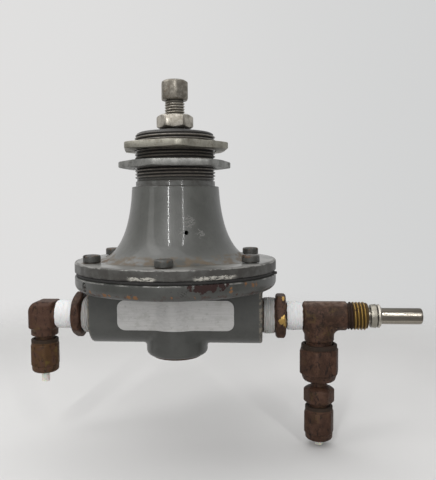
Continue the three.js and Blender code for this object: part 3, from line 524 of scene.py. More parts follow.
    def vary_rough(self, pattern, amount):
        swing = self.math("MULTIPLY", self.math("SUBTRACT", pattern, 0.5), 2 * amount)
        self.rough = self.math("ADD", self.rough, swing)

    def relief(self, height, depth):
        """Bumps from a 0 to 1 pattern, `depth` millimetres high."""
        made = self.node("ShaderNodeBump")
        made.inputs["Distance"].default_value = depth * MM
        made.inputs["Strength"].default_value = 1.0
        self.link(height, made.inputs["Height"])
        self.tree.links.new(made.outputs[0], self.shader.inputs["Normal"])

    def done(self):
        for name, value in (("Base Color", self.colour), ("Roughness", self.rough),
                            ("Metallic", self.metal)):
            if isinstance(value, bpy.types.NodeSocket):
                self.tree.links.new(value, self.shader.inputs[name])
        return self.material


def shade(colour, amount):
    return tuple(amount * c for c in colour)


BONNET_GLOSS, BODY_GLOSS = 0.35, 0.22
RUST = (0.19, 0.085, 0.028)
DARK_RUST = (0.055, 0.022, 0.014)


def enamel(name, tint, gloss):
    """Grey machine enamel: slight mottling, orange peel, dust and fine scuffs."""
    f = Finish(name, tint, 0.0, 0.42, Coat_Weight=gloss, Coat_Roughness=0.09)
    f.paint(f.cloud(12, 4, 0.6, 0.38, 0.70, 0.8), shade(tint, 1.30))
    f.paint(f.cloud(2.6, 4, 0.65, 0.48, 0.70, 0.45, seed=4), shade(tint, 0.78))
    dusty = f.cloud(1.1, 4, 0.7, 0.60, 0.78, 0.3, seed=9)
    f.paint(dusty, shade(tint, 1.9), rough=0.5)
    f.vary_rough(f.noise(6, 4, 0.6, seed=2), 0.10)
    return f


def bonnet_enamel():
    """Enamel worn off the threads, chipped on the flange's edge and round the vent, stained at the foot."""
    f = enamel("bonnet_enamel", (0.066, 0.067, 0.061), BONNET_GLOSS)
    radius = f.from_axis((0, 0, 0), (1, 1, 0))
    foot = f.times(f.band(f.z, 39.1, 41.6, 1.0), f.band(radius, 24, 31.0, 2.0),
                   f.cloud(3.5, 4, 0.65, 0.42, 0.60, seed=21))
    f.paint(f.times(foot, 0.8), (0.105, 0.078, 0.050), rough=0.7)
    grime = f.times(f.band(f.z, 67.8, 70.5, 0.5), f.cloud(1.6, 4, 0.6, 0.40, 0.62, seed=5))
    f.paint(f.times(grime, 0.7), (0.050, 0.045, 0.040), rough=0.6)
    wear_neck_thread(f, radius)
    rim_grime_and_shade, chips = wear_flange_edge(f, radius)
    # Painted sheen: the flange's top lighter in patches, a reflection painted on.
    flange_top = f.times(f.band(f.z, 39.0, 39.6, 0.2), f.ramp(radius, 30.5, 33.5))
    top_sheen = f.times(flange_top, f.ramp(f.noise(9, 3, 0.6, seed=8), 0.38, 0.62, 0.15, 0.65))
    f.paint(top_sheen, (0.23, 0.225, 0.21), rough=0.5)
    stains = f.spots([
        (-29.6, -18.0, 39.5, 3.6), (-26.0, -14.8, 40.2, 2.4), (30.2, -16.0, 39.5, 1.8),
        (0.6, -34.4, 39.4, 3.3), (27.5, -12.6, 40.2, 1.6),
    ], ragged=0.9, size=1.6, seed=3)
    f.paint(f.times(stains, 0.7), (0.11, 0.070, 0.042), rough=0.75)
    nicks, hole = wear_vent(f)
    height = f.math("ADD", f.noise(0.9, 2, 0.5, seed=7), f.math("MULTIPLY", nicks, -0.8))
    f.relief(height, 0.035)
    f.matt(f.most(chips, hole, stains, f.times(rim_grime_and_shade, 0.8), foot), BONNET_GLOSS)
    return f.done()


def wear_neck_thread(f, radius):
    """Neck thread: rubbed paint, bare crests and near-black painted shade in the roots."""
    zone = f.band(f.z, 72.0, 95.0, 2.2)
    f.paint(f.times(zone, 0.85), (0.085, 0.076, 0.066), rough=0.5)
    crests = f.times(zone, f.ramp(radius, 15.5, 15.85), f.cloud(1.3, 4, 0.6, 0.35, 0.6, seed=6))
    f.paint(crests, (0.20, 0.18, 0.155), rough=0.38, metal=0.75)
    # Painted shade: the thread roots darkened to near black.
    roots = f.times(zone, f.ramp(radius, 15.2, 15.65, 1, 0))
    f.paint(f.times(roots, 0.95), (0.014, 0.013, 0.012), rough=0.8)


def wear_flange_edge(f, radius):
    """Bonnet flange's edge: grime with painted shade, a painted upper-corner highlight, pale chips in two
    runs at the front.
    """
    rim = f.band(radius, 39.0, 41.0, 0.25)
    # Grime and painted shade: a darker band all round the rim.
    rim_grime_and_shade = f.times(rim, f.ramp(f.noise(4.0, 4, 0.65, seed=33), 0.30, 0.62, 0.35, 0.95))
    f.paint(rim_grime_and_shade, (0.034, 0.031, 0.027), rough=0.6)
    # Painted highlight: a pale line along the flange's upper corner, broken up like worn paint.
    corner = f.times(rim, f.band(f.z, 38.72, 38.98, 0.08), f.cloud(3.0, 5, 0.65, 0.44, 0.56, seed=11))
    f.paint(f.times(corner, 0.8), (0.24, 0.235, 0.22), rough=0.45)
    runs = f.most(f.band(f.x, -9.5, -3.0, 2.5), f.band(f.x, 13.0, 23.5, 2.5))
    front = f.times(rim, f.ramp(f.y, -20, -24), f.band(f.z, 35.3, 37.2, 0.4), runs)
    uneven = f.math("ADD", f.z, f.math("MULTIPLY", f.noise(1.8, 4, 0.7, seed=36), 2.2))
    flaky = f.cloud(0.9, 5, 0.75, 0.44, 0.50, stretch=(0.6, 0.6, 1.8), seed=35)
    chips = f.times(front, flaky, f.band(uneven, 36.3, 37.6, 0.25))
    f.paint(f.times(chips, 0.95), (0.42, 0.405, 0.36), rough=0.65)
    stray = f.times(rim, f.band(f.z, 35.1, 38.6, 0.4), f.cloud(0.9, 4, 0.7, 0.66, 0.72, seed=37))
    f.paint(f.times(stray, 0.6), (0.24, 0.225, 0.20), rough=0.6)
    joint = f.times(rim, f.band(f.z, 34.9, 35.55, 0.15), f.cloud(2.6, 4, 0.6, 0.45, 0.6, seed=39))
    f.paint(f.times(joint, 0.8), (0.016, 0.013, 0.011), rough=0.8)
    return rim_grime_and_shade, chips


def wear_vent(f):
    """Fine scratches round the vent hole, and near-black painted shade inside it."""
    x, y = VENT_SKIN_R * math.cos(VENT_ANGLE), VENT_SKIN_R * math.sin(VENT_ANGLE)
    around = f.spots([
        (x - 1.8, y, VENT_Z, 2.3), (x + 4.4, y + 1.8, VENT_Z - 1, 2.3), (x + 1.2, y + 0.4, VENT_Z + 4, 2.3),
        (x - 1.0, y - 0.3, VENT_Z - 3.4, 1.6),
    ], ragged=0.9, size=1.2, seed=14)
    pattern = f.noise(1.5, 5, 0.75, stretch=(0.7, 0.7, 1.5), seed=41)
    crackle = f.math("ABSOLUTE", f.math("SUBTRACT", pattern, 0.5))
    nicks = f.times(around, f.ramp(crackle, 0.010, 0.026, 1, 0))
    f.paint(f.times(nicks, 0.75), (0.27, 0.265, 0.25), rough=0.6)
    inward = 1 - 1.4 / VENT_SKIN_R
    # Painted shade: the inside of the vent hole near black.
    hole = f.spots([(x * inward, y * inward, VENT_Z, 1.55)], 0.0, 1.0, 2)
    f.paint(hole, (0.004, 0.004, 0.004), rough=0.9)
    return nicks, hole


def body_enamel():
    """Enamel rusting along the lower flange, with a painted highlight on its top edge and painted shade
    under it, rubbed at the port mouths.
    """
    f = enamel("body_enamel", (0.040, 0.041, 0.037), BODY_GLOSS)
    radius = f.from_axis((0, 0, 0), (1, 1, 0))
    lower = f.times(f.ramp(radius, 37.5, 38.8), f.band(f.z, 27.0, 29.6, 0.6),
                    f.cloud(3.0, 5, 0.7, 0.52, 0.62, seed=17))
    f.paint(f.times(lower, 0.6), DARK_RUST, rough=0.8)
    # Painted highlight: a pale line along the flange's top edge, broken up like worn paint.
    top_edge_highlight = f.times(f.ramp(radius, 39.3, 39.8), f.band(f.z, 33.35, 34.0, 0.1),
                       f.cloud(4.0, 4, 0.6, 0.40, 0.58, seed=12))
    f.paint(f.times(top_edge_highlight, 0.7), (0.24, 0.235, 0.22), rough=0.5)
    rusty = rust_flange(f, radius)
    # Painted shade under the flange: deepest near the axis and just under it, fading downward and outward.
    under_flange_shade = f.times(f.ramp(f.z, 24.4, 27.0), f.ramp(radius, 10.0, 37.0, 1, 0),
                    f.ramp(f.noise(5, 3, 0.6, seed=13), 0.35, 0.65, 0.3, 0.9), 0.7)
    f.paint(under_flange_shade, (0.040, 0.038, 0.035), rough=0.6)
    mouth = f.times(f.ramp(f.math("ABSOLUTE", f.x), 32.9, 33.6), f.ramp(f.z, 27.5, 28.5, 1, 0),
                    f.cloud(1.5, 4, 0.65, 0.42, 0.58, seed=19))
    f.paint(f.times(mouth, 0.75), (0.20, 0.17, 0.13), rough=0.6)
    f.matt(f.most(rusty, under_flange_shade), BODY_GLOSS)
    return f.done()


def rust_flange(f, radius):
    """Flange of the body: bare maroon primer with dark flecks, rust spots and specks."""
    maroon = f.spots([
        (10.4, -38.5, 33.2, 0.9), (12.8, -37.8, 32.8, 1.6), (15.4, -36.8, 32.8, 1.7),
        (18.0, -35.6, 33.0, 1.6), (20.6, -34.2, 33.0, 1.4), (22.4, -33.0, 33.2, 0.9),
        (14.2, -37.3, 31.6, 0.9),
    ], ragged=1.3, size=1.5, seed=5)
    f.paint(maroon, (0.021, 0.0065, 0.0052), rough=0.9)
    flecks = f.times(f.band(f.x, 5.0, 24.0, 3.0), f.ramp(f.y, -28, -31), f.band(f.z, 30.0, 33.9, 0.2),
                     f.cloud(1.2, 5, 0.75, 0.58, 0.62, stretch=(0.7, 0.7, 1.5), seed=43))
    f.paint(f.times(flecks, 0.9), (0.010, 0.007, 0.006), rough=0.8)
    rust = f.spots([
        (23.6, -32.2, 31.9, 0.55), (23.6, -32.2, 30.9, 0.5), (31.0, -25.1, 32.2, 0.7),
        (32.2, -23.6, 32.4, 0.5), (28.6, -27.8, 33.0, 0.4), (-26.8, -29.2, 30.0, 0.7),
        (-20.4, -34.0, 29.6, 0.8), (-18.3, -35.2, 29.6, 0.5), (-11.0, -38.0, 29.6, 0.8),
        (-8.6, -38.7, 29.4, 0.8), (4.2, -39.5, 29.7, 0.4), (11.7, -38.0, 29.6, 0.4),
    ], ragged=0.8, size=0.7, seed=27)
    f.paint(f.times(rust, 0.85), RUST, rough=0.85)
    specks = f.times(f.ramp(radius, 38.9, 39.5), f.band(f.z, 28.6, 30.6, 0.5),
                     f.cloud(1.3, 5, 0.7, 0.60, 0.66, seed=29))
    f.paint(f.times(specks, 0.85), DARK_RUST, rough=0.9)
    pitted = f.math("MULTIPLY", f.most(rust, maroon), -0.7)
    f.relief(f.math("ADD", f.noise(1.6, 3, 0.6, seed=3), pitted), 0.07)
    return f.most(maroon, rust, specks, flecks)


def screw_paint():
    """Dark painted screw heads, dirty and browned in places."""
    f = Finish("screw_paint", (0.055, 0.055, 0.050), 0.1, 0.42)
    f.paint(f.cloud(1.8, 4, 0.65, 0.40, 0.65, 0.7), (0.032, 0.031, 0.028), rough=0.5)
    f.paint(f.times(f.ramp(f.bent(), 0.53, 0.62), 0.5), (0.14, 0.135, 0.12), rough=0.45)
    brown = f.times(f.ramp(f.z, 40.9, 41.6), f.cloud(1.5, 4, 0.7, 0.54, 0.64, seed=5))
    f.paint(f.times(brown, 0.7), (0.115, 0.058, 0.026), rough=0.85)
    low = f.ramp(f.z, 39.4, 40.4, 1, 0)
    f.paint(f.times(low, f.cloud(1.1, 4, 0.7, 0.46, 0.60, seed=8), 0.8), (0.030, 0.020, 0.014), rough=0.8)
    f.relief(f.noise(0.7, 4, 0.6, seed=2), 0.05)
    return f.done()


def zinc(name, tint, stain, amount, seed):
    """Old zinc plating, clouded, with stained patches and brighter edges."""
    f = Finish(name, tint, 0.75, 0.42)
    f.paint(f.cloud(4.5, 4, 0.65, 0.38, 0.68, seed=seed), shade(tint, 0.62), rough=0.55)
    f.paint(f.cloud(1.2, 5, 0.7, 0.52, 0.68, 0.7, seed=seed + 2), stain, rough=0.6, metal=0.4)
    patches = f.cloud(5.5, 5, 0.7, 0.60 - amount, 0.70 - amount, seed=seed + 5)
    f.paint(f.times(patches, 0.8), shade(stain, 0.55), rough=0.75, metal=0.2)
    f.paint(f.ramp(f.bent(), 0.54, 0.66, 0, 0.6), shade(tint, 1.6), rough=0.34, metal=0.9)
    f.paint(f.cloud(0.45, 3, 0.7, 0.62, 0.70, 0.7, seed=seed + 6), shade(tint, 0.25), rough=0.7, metal=0.3)
    f.vary_rough(f.noise(2.0, 4, 0.6, seed=seed + 1), 0.12)
    f.relief(f.noise(0.8, 5, 0.65, seed=seed + 3), 0.035)
    return f.done()


def plated_steel():
    """Bright plated steel of the jam nut and the adjusting screw, browned in places."""
    f = Finish("plated_steel", (0.46, 0.43, 0.375), 0.85, 0.36)
    f.paint(f.cloud(2.6, 4, 0.6, 0.42, 0.68, 0.8), (0.22, 0.20, 0.165), rough=0.46)
    head = f.ramp(f.z, 101.6, 102.0)
    dulled = f.times(head, f.ramp(f.noise(2.2, 4, 0.65, seed=9), 0.34, 0.60, 0.35, 0.85))
    f.paint(dulled, (0.125, 0.112, 0.090), rough=0.52, metal=0.6)
    f.paint(f.cloud(1.2, 5, 0.7, 0.58, 0.70, 0.8, seed=6), (0.13, 0.085, 0.05), rough=0.7, metal=0.3)
    radius = f.from_axis((0, 0, 0), (1, 1, 0))
    # Painted shade: the adjusting screw's thread roots darkened.
    roots = f.times(f.band(f.z, 96.2, 102.0, 0.2), f.ramp(radius, 3.45, 3.85, 1, 0))
    f.paint(f.times(roots, 0.9), (0.045, 0.040, 0.030), rough=0.7, metal=0.3)
    f.paint(f.ramp(f.bent(), 0.56, 0.70, 0, 0.55), (0.50, 0.47, 0.41), rough=0.30, metal=0.95)
    f.paint(f.cloud(0.45, 3, 0.7, 0.60, 0.68, 0.75, seed=16), (0.085, 0.072, 0.055), rough=0.7, metal=0.3)
    f.vary_rough(f.noise(1.6, 4, 0.6, seed=4), 0.10)
    f.relief(f.noise(0.6, 4, 0.6, seed=3), 0.03)
    return f.done()


def patina(name, tint, olive=0.3, seed=0.0):
    """Chocolate brown tarnish over brass: cloudy, slightly greasy, lighter where it has been handled."""
    f = Finish(name, tint, 0.15, 0.55, Specular_IOR_Level=0.2)
    f.paint(f.cloud(3.4, 5, 0.7, 0.44, 0.60, seed=seed), (0.066, 0.033, 0.021), rough=0.55)
    f.paint(f.cloud(1.5, 5, 0.75, 0.52, 0.64, 0.9, stretch=(1, 1, 0.5), seed=seed + 3),
            (0.014, 0.008, 0.006), rough=0.65)
    f.paint(f.cloud(4.2, 5, 0.7, 0.54, 0.68, olive, seed=seed + 7), (0.125, 0.085, 0.028), rough=0.42,
            metal=0.6)
    f.paint(f.cloud(0.6, 4, 0.75, 0.62, 0.72, 0.8, seed=seed + 9), (0.15, 0.085, 0.052), rough=0.7)
    f.paint(f.times(f.ramp(f.bent(), 0.54, 0.66), f.cloud(2.2, 4, 0.6, 0.40, 0.58, seed=seed + 4), 0.8),
            (0.21, 0.130, 0.078), rough=0.42, metal=0.6)
    f.paint(f.ramp(f.bent(), 0.46, 0.36, 0, 0.8), (0.010, 0.006, 0.005), rough=0.8)
    f.vary_rough(f.noise(1.5, 4, 0.65, seed=seed + 1), 0.14)
    return f


def fitting_patina(name, olive, seed, shadow_bands=(), tint=(0.042, 0.020, 0.012)):
    """Patina of one fitting, with painted shadow in each height band (low, high) of its fourth argument."""
    f = patina(name, tint, olive, seed)
    for low, high in shadow_bands:
        # Painted shadow in each listed height band.
        gap_shadow = f.times(f.band(f.z, low, high, 0.25),
                       f.ramp(f.noise(1.4, 4, 0.7, seed=seed + 2), 0.25, 0.55, 0.6, 1))
        f.paint(f.times(gap_shadow, 0.85), (0.020, 0.014, 0.010), rough=0.8, metal=0.0)
    f.relief(f.math("ADD", f.noise(0.55, 5, 0.7, seed=seed), f.noise(2.4, 3, 0.6, seed=seed + 5)), 0.11)
    return f.done()


def tee_patina():
    """Tee: tarnished body, dark first threads and clean brass beyond them."""
    f = patina("tee_patina", tint=(0.034, 0.017, 0.010), seed=3)
    radius = f.from_axis((0, 0, PORT_Z), (0, 1, 1))
    along = f.band(f.x, 70.6, 80.0, 0.9)
    ragged = f.cloud(1.4, 4, 0.6, 0.30, 0.52, seed=12)
    f.paint(f.times(along, ragged), (0.165, 0.098, 0.030), rough=0.42, metal=0.8)
    f.paint(f.times(along, ragged, f.ramp(radius, 5.3, 5.52)), (0.29, 0.185, 0.055), rough=0.36, metal=0.9)
    # Painted shade: the run thread's roots darkened.
    roots = f.times(f.band(f.x, 68.0, 80.0, 0.2), f.ramp(radius, 5.05, 5.40, 1, 0))
    f.paint(f.times(roots, 0.85), (0.050, 0.032, 0.014), rough=0.65, metal=0.4)
    black = f.ramp(f.noise(1.2, 4, 0.7, seed=15), 0.3, 0.5, 0.4, 0.8)
    first_threads = f.times(f.band(f.x, 67.75, 69.6, 0.3), black)
    f.paint(first_threads, (0.014, 0.007, 0.006), rough=0.7, metal=0.1)
    # Painted highlight: the upper side of the tee lighter, standing for light from above.
    top = f.times(f.band(f.x, 50.0, 67.6, 0.5), f.ramp(f.z, PORT_Z + 4.0, PORT_Z + 5.4),
                  f.cloud(2.0, 4, 0.65, 0.34, 0.58, seed=4))
    f.paint(f.times(top, 0.65), (0.155, 0.105, 0.082), rough=0.5)
    f.relief(f.math("ADD", f.noise(0.55, 5, 0.7, seed=3), f.noise(2.4, 3, 0.6, seed=8)), 0.10)
    return f.done()


def bushing_patina(name, seed, worn_side):
    """Reducing bushing; one near corner may be rubbed down to brass."""
    f = patina(name, tint=(0.040, 0.020, 0.013), olive=0.2, seed=seed)
    if worn_side:
        rubbed = f.spots([
            (42.6, -9.2, PORT_Z - 0.3, 1.7), (43.5, -8.6, PORT_Z - 1.9, 1.2),
            (42.2, -9.3, PORT_Z + 1.2, 0.5), (43.0, -5.0, PORT_Z + 7.8, 0.8),
        ], ragged=0.9, size=1.0, seed=2)
        f.paint(f.times(rubbed, 0.95), (0.42, 0.27, 0.085), rough=0.36, metal=0.9)
        edge = f.times(f.ramp(f.bent(), 0.53, 0.60), f.cloud(1.8, 4, 0.6, 0.44, 0.56, seed=5))
        f.paint(f.times(edge, 0.7), (0.30, 0.19, 0.065), rough=0.4, metal=0.8)
    f.relief(f.noise(0.6, 5, 0.7, seed=seed), 0.05)
    return f.done()


def turned_nickel(name, colour, rough, reflection_banded):
    """Machined metal with fine rings round the port axis; the rod gets painted reflection bands along it.
    """
    f = Finish(name, colour, 1.0, rough)
    f.paint(f.cloud(3.0, 4, 0.6, 0.48, 0.72, 0.5, seed=2), shade(colour, 0.65), rough=rough + 0.12)
    if reflection_banded:
        # Painted reflection bands along the rod: dark along its top and its middle, dimmer on its lower
        # side, wandering with the noise.
        swing = f.math("MULTIPLY", f.noise(6.0, 3, 0.6, stretch=(0.4, 1, 1), seed=3), 0.5)
        height = f.math("ADD", f.z, swing)
        dark_reflection_bands = f.most(f.ramp(height, PORT_Z + 1.9, PORT_Z + 2.4),
                      f.band(height, PORT_Z - 0.9, PORT_Z + 0.9, 0.4))
        f.paint(f.times(dark_reflection_bands, 0.85), (0.085, 0.075, 0.062), rough=0.38)
        f.paint(f.times(f.ramp(height, PORT_Z - 1.0, PORT_Z - 1.6), 0.6), (0.17, 0.15, 0.125), rough=0.34)
    f.paint(f.cloud(0.8, 5, 0.7, 0.62, 0.74, 0.6, seed=5), (0.16, 0.12, 0.08), rough=0.6, metal=0.5)
    lines = f.noise(0.35, 2, 0.5, stretch=(1, 0.02, 0.02), seed=1)
    f.vary_rough(lines, 0.08)
    f.relief(lines, 0.006)
    return f.done()


def brass():
    f = Finish("brass", (0.42, 0.27, 0.09), 0.9, 0.36)
    f.paint(f.cloud(3.2, 4, 0.65, 0.42, 0.68), (0.24, 0.145, 0.055), rough=0.5)
    f.paint(f.cloud(1.1, 5, 0.7, 0.60, 0.72, 0.7, seed=5), (0.07, 0.04, 0.022), rough=0.65, metal=0.4)
    f.vary_rough(f.noise(1.4, 4, 0.6, seed=4), 0.1)
    f.relief(f.noise(0.7, 4, 0.6, seed=3), 0.025)
    return f.done()


def thread_tape(name, outer, depth, dirt_and_groove_shade, seed):
    """White PTFE tape stretched over a pipe thread; dirtier tape is greyer, with painted shade between the
    threads.
    """
    f = Finish(name, (0.66 - 1.3 * dirt_and_groove_shade,) * 3, 0.0, 0.50, Subsurface_Weight=0.1, Subsurface_Scale=0.0005)
    f.paint(f.cloud(1.6, 4, 0.65, 0.62 - dirt_and_groove_shade, 0.80 - dirt_and_groove_shade, 0.6, seed=seed),
            (0.50 - dirt_and_groove_shade, 0.48 - dirt_and_groove_shade, 0.44 - dirt_and_groove_shade), rough=0.6)
    radius = f.from_axis((0, 0, PORT_Z), (0, 1, 1))
    # Painted shade in the grooves between the ridges, stronger on dirtier tape.
    f.paint(f.ramp(radius, outer - 0.75 * depth, outer - 0.1 * depth, min(4.5 * dirt_and_groove_shade, 0.6), 0),
            (0.20, 0.19, 0.17))
    f.paint(f.cloud(0.5, 4, 0.7, 0.66, 0.74, 4 * dirt_and_groove_shade, seed=seed + 4), (0.25, 0.22, 0.18), rough=0.7)
    f.relief(f.noise(0.5, 4, 0.6, stretch=(2.2, 1, 1), seed=seed), 0.06)
    return f.done()


def nylon():
    f = Finish("nylon_tube", (0.66, 0.65, 0.60), 0.0, 0.38, Subsurface_Weight=0.35, Subsurface_Scale=0.0015)
    f.paint(f.cloud(1.8, 4, 0.6, 0.50, 0.72, 0.6), (0.46, 0.43, 0.37))
    f.relief(f.noise(0.6, 3, 0.6), 0.02)
    return f.done()


def rubber():
    f = Finish("rubber", (0.016, 0.015, 0.014), 0.0, 0.72)
    f.paint(f.cloud(1.4, 4, 0.7, 0.55, 0.70, 0.6), (0.055, 0.050, 0.044), rough=0.85)
    f.relief(f.noise(0.6, 4, 0.65), 0.05)
    return f.done()


def foil():
    """Metallised label film: brushed along its length, smudged and specked."""
    f = Finish("label_foil", (0.50, 0.495, 0.485), 0.30, 0.40)
    brushed = f.noise(0.5, 3, 0.6, stretch=(0.06, 1, 1), seed=2)
    f.paint(f.ramp(brushed, 0.35, 0.65, 0, 0.45), (0.38, 0.375, 0.365))
    f.paint(f.cloud(5.0, 4, 0.65, 0.50, 0.72, 0.5, seed=6), (0.31, 0.30, 0.28), rough=0.52)
    f.paint(f.cloud(1.6, 5, 0.7, 0.56, 0.70, 0.5, seed=12), (0.27, 0.262, 0.245), rough=0.55)
    f.paint(f.cloud(0.8, 4, 0.7, 0.66, 0.74, 0.6, seed=9), (0.12, 0.105, 0.085), rough=0.6)
    f.vary_rough(f.noise(2.0, 4, 0.6, seed=1), 0.10)
    f.relief(brushed, 0.006)
    return f.done()


def spring_steel():
    f = Finish("spring_steel", (0.26, 0.25, 0.235), 0.9, 0.38)
    f.paint(f.cloud(3.0, 4, 0.6, 0.45, 0.70), (0.13, 0.125, 0.12), rough=0.5)
    f.paint(f.cloud(0.9, 4, 0.7, 0.60, 0.72, 0.7, seed=3), (0.12, 0.06, 0.03), rough=0.7, metal=0.4)
    f.relief(f.noise(0.5, 4, 0.6), 0.02)
    return f.done()


# ---- Castings ----


def flange_holes(bottom, top):
    """Tools for the six bonnet screws, one at each screw's own place."""
    holes = []
    for i in range(6):
        centre = extent(f"bonnet_screw_{i + 1}")[2]
        holes.append(moved(rod(SCREW_HOLE_R, bottom, top), at(centre.x, centre.y, 0)))
    return holes


def make_bonnet():
    low, high, _ = extent("bonnet")
    foot_r, flange_top = BELL[0]
    mouth_r, shoulder = BELL[-1]
    bell = bezier(*BELL, 30)
    outside = rounded([
        (CHAMBER_R, low.z), (FLANGE_R, low.z, 0.45), (FLANGE_R, flange_top, 0.9), (foot_r + 1, flange_top),
    ]) + bell[:-1] + rounded([
        (mouth_r, shoulder - 1), (mouth_r, shoulder, 0.7), (NECK_LAND_R, shoulder + 0.1, 0.3),
        (NECK_LAND_R, LAND_TOP_Z - 0.3, 0.2), (NECK_ROOT_R, LAND_TOP_Z),
    ])
    inside = [(r - BELL_WALL, z - 1.6) for r, z in bell][::-1]
    hole_r, cap_floor = SCREW_CREST_R + 0.3, 82.0
    cap = rounded([
        (NECK_ROOT_R, NECK_TOP_Z - 0.4), (NECK_ROOT_R - 0.7, NECK_TOP_Z), (6.3, NECK_TOP_Z, 0.3),
        (6.3, high.z, 0.3), (hole_r, high.z, 0.3), (hole_r, cap_floor), (NECK_BORE_R, cap_floor, 0.8),
        (NECK_BORE_R, shoulder),
    ]) + inside + [(CHAMBER_R, 37.5), (CHAMBER_R, low.z)]
    sides = 128
    ridges = thread(NECK_ROOT_R, NECK_CREST_R, NECK_PITCH, LAND_TOP_Z, NECK_TOP_Z - 0.4, sides)
    made = mesh_object("bonnet_shell", both(revolve(outside, sides), ridges, revolve(cap, sides)))
    drill = moved(rod(VENT_R, 12, 21.4, 24), ALONG_X)
    vent = moved(drill, at(0, 0, VENT_Z) @ Matrix.Rotation(VENT_ANGLE, 4, "Z"))
    carved(made, vent, *flange_holes(low.z - 1, flange_top + 1))
    finished(made, "bonnet", bonnet_enamel())


def body_shape(x, y, z):
    """Flange, valve boss and port boss of the lower casting."""
    low, high, _ = extent("body")
    radial = np.hypot(x, y)
    flange = puck(radial, z, FLANGE_R, FLANGE_BOTTOM_Z, high.z, 2.9, 0.5)
    valve = puck(radial, z, BOSS_R, low.z, 30.0, 2.0, 1.0)
    rise = np.clip(z, PORT_Z, 28.0)
    port = puck(np.hypot(y, z - rise), x, PORT_BOSS_R, LEFT_BOSS_X, RIGHT_BOSS_X, 0.9, 0.9)
    port = np.maximum(port, z - PORT_BOSS_TOP_Z)
    return joined(flange, joined(valve, port, 1.2), 1.6)


def make_body():
    low, high, _ = extent("body")
    made = mesh_object("body_casting", cast(body_shape, low, high, CASTING_GRID))
    axis_bore = revolve([
        (0, -1), (10.75, -1), (10.2, low.z + 0.6), (10.2, 6.5), (7.5, 6.5), (7.5, 21.0), (6.0, 21.0),
        (6.0, 26.6), (4, 26.6), (4, CHAMBER_FLOOR_Z), (CHAMBER_R - 2, CHAMBER_FLOOR_Z),
        (CHAMBER_R, CHAMBER_FLOOR_Z + 2), (CHAMBER_R, high.z + 1), (0, high.z + 1),
    ], 96)
    ports = []
    for direction, passage, face in ((ALONG_MINUS_X, 5, -LEFT_BOSS_X), (ALONG_X, 13, RIGHT_BOSS_X)):
        bore = revolve([(0, passage), (4.3, passage), (4.3, 22), (7.1, 22), (7.1, face - 0.8),
                        (8.0, face + 0.1), (8.0, face + 4), (0, face + 4)], 48)
        ports.append(moved(bore, at(0, 0, PORT_Z) @ direction))
    gallery = moved(rod(2.2, PORT_Z, CHAMBER_FLOOR_Z + 1), at(17, 0, 0))
    plug_bore = revolve([(0, 36.2), (1.55, 36.2), (1.55, 39.4), (2.1, 40.6), (0, 40.6)], 24)
    screw_holes = flange_holes(extent("bonnet_screw_1")[0].z - 0.3, high.z + 1)
    carved(made, axis_bore, *ports, gallery, moved(plug_bore, plug_place() @ ALONG_X), *screw_holes)
    finished(made, "body", body_enamel())


def plug_place():
    """Frame of the passage plug: +X out through the flange's edge."""
    plug = extent("passage_plug")[2]
    return at(0, 0, plug.z) @ Matrix.Rotation(math.atan2(plug.y, plug.x), 4, "Z")


def make_passage_plug():
    shell = revolve(rounded([(0, 36.6), (1.3, 36.6, 0.2), (1.3, 39.7, 0.25), (0, 39.7)]), 32)
    made = mesh_object("passage_screw", shell, plug_place() @ ALONG_X)
    carved(made, moved(box_patch((39.1, -2, -0.22), (41, 2, 0.22)), plug_place()))
    finished(made, "passage_plug", screw_finish)


def make_label():
    """Film that follows the bosses: rows of points laid on the casting at two distances from it."""
    low, high, centre = extent("label")
    corner, columns, rows = 3.0, 72, 28
    half_width, half_height = (high.x - low.x) / 2, (high.z - low.z) / 2
    rise = np.sin(np.linspace(-math.pi / 2, math.pi / 2, rows + 1)) * half_height
    drop = np.clip(np.abs(rise) - (half_height - corner), 0, corner)
    reach = half_width - corner + np.sqrt(corner**2 - drop**2)
    across = np.sin(np.linspace(-math.pi / 2, math.pi / 2, columns + 1))
    across = 0.5 * across + 0.5 * np.linspace(-1, 1, columns + 1)
    x = centre.x + reach[:, None] * across[None, :]
    z = centre.z + rise[:, None] + 0 * x
    sheets = []
    for gap in (0.30, 0.52):
        y = np.full_like(x, low.y - 1.5)
        for _ in range(24):
            y = y + np.clip(body_shape(x, y, z) - gap, -1, 1)
        sheets.append(np.stack([x, y, z], -1).reshape(-1, 3))
    points = [tuple(p) for p in np.concatenate(sheets)]
    wide, layer = columns + 1, (columns + 1) * (rows + 1)
    faces = []
    for r in range(rows):
        for c in range(columns):
            a = r * wide + c
            quad = (a, a + 1, a + wide + 1, a + wide)
            faces.append(quad)
            faces.append(tuple(i + layer for i in reversed(quad)))
    border = list(range(wide)) + [r * wide + columns for r in range(1, rows + 1)]
    border += [rows * wide + c for c in range(columns - 1, -1, -1)]
    border += [r * wide for r in range(rows - 1, 0, -1)]
    for a, b in zip(border, border[1:] + border[:1]):
        faces.append((a, b, b + layer, a + layer))
    piece("label_plate", (points, faces), "label", foil())


def make_diaphragm():
    """Clamped sheet: its cut edge wanders a little, and one scrap stands out of the joint."""
    _, high, centre = extent("diaphragm")

    def edge(height, inset):
        def ring(angles):
            scrap = 1.5 * np.exp(-((np.mod(angles + 0.18 + math.pi, TAU) - math.pi) / 0.022) ** 2)
            return high.x - 1.0 - inset + 0.18 * wander(angles, 6, 2.0) + scrap, height
        return ring

    bottom, top = centre.z - 0.5, centre.z + 0.5
    rings = [(3.3, bottom), (CHAMBER_R, bottom), edge(bottom, 0.1), edge(centre.z - 0.25, 0.0),
             edge(centre.z + 0.25, 0.0), edge(top, 0.1), (CHAMBER_R, top), (3.3, top)]
    made = mesh_object("diaphragm_sheet", ring_of(rings, 240))
    carved(made, *flange_holes(bottom - 1, top + 1))
    finished(made, "diaphragm", rubber())


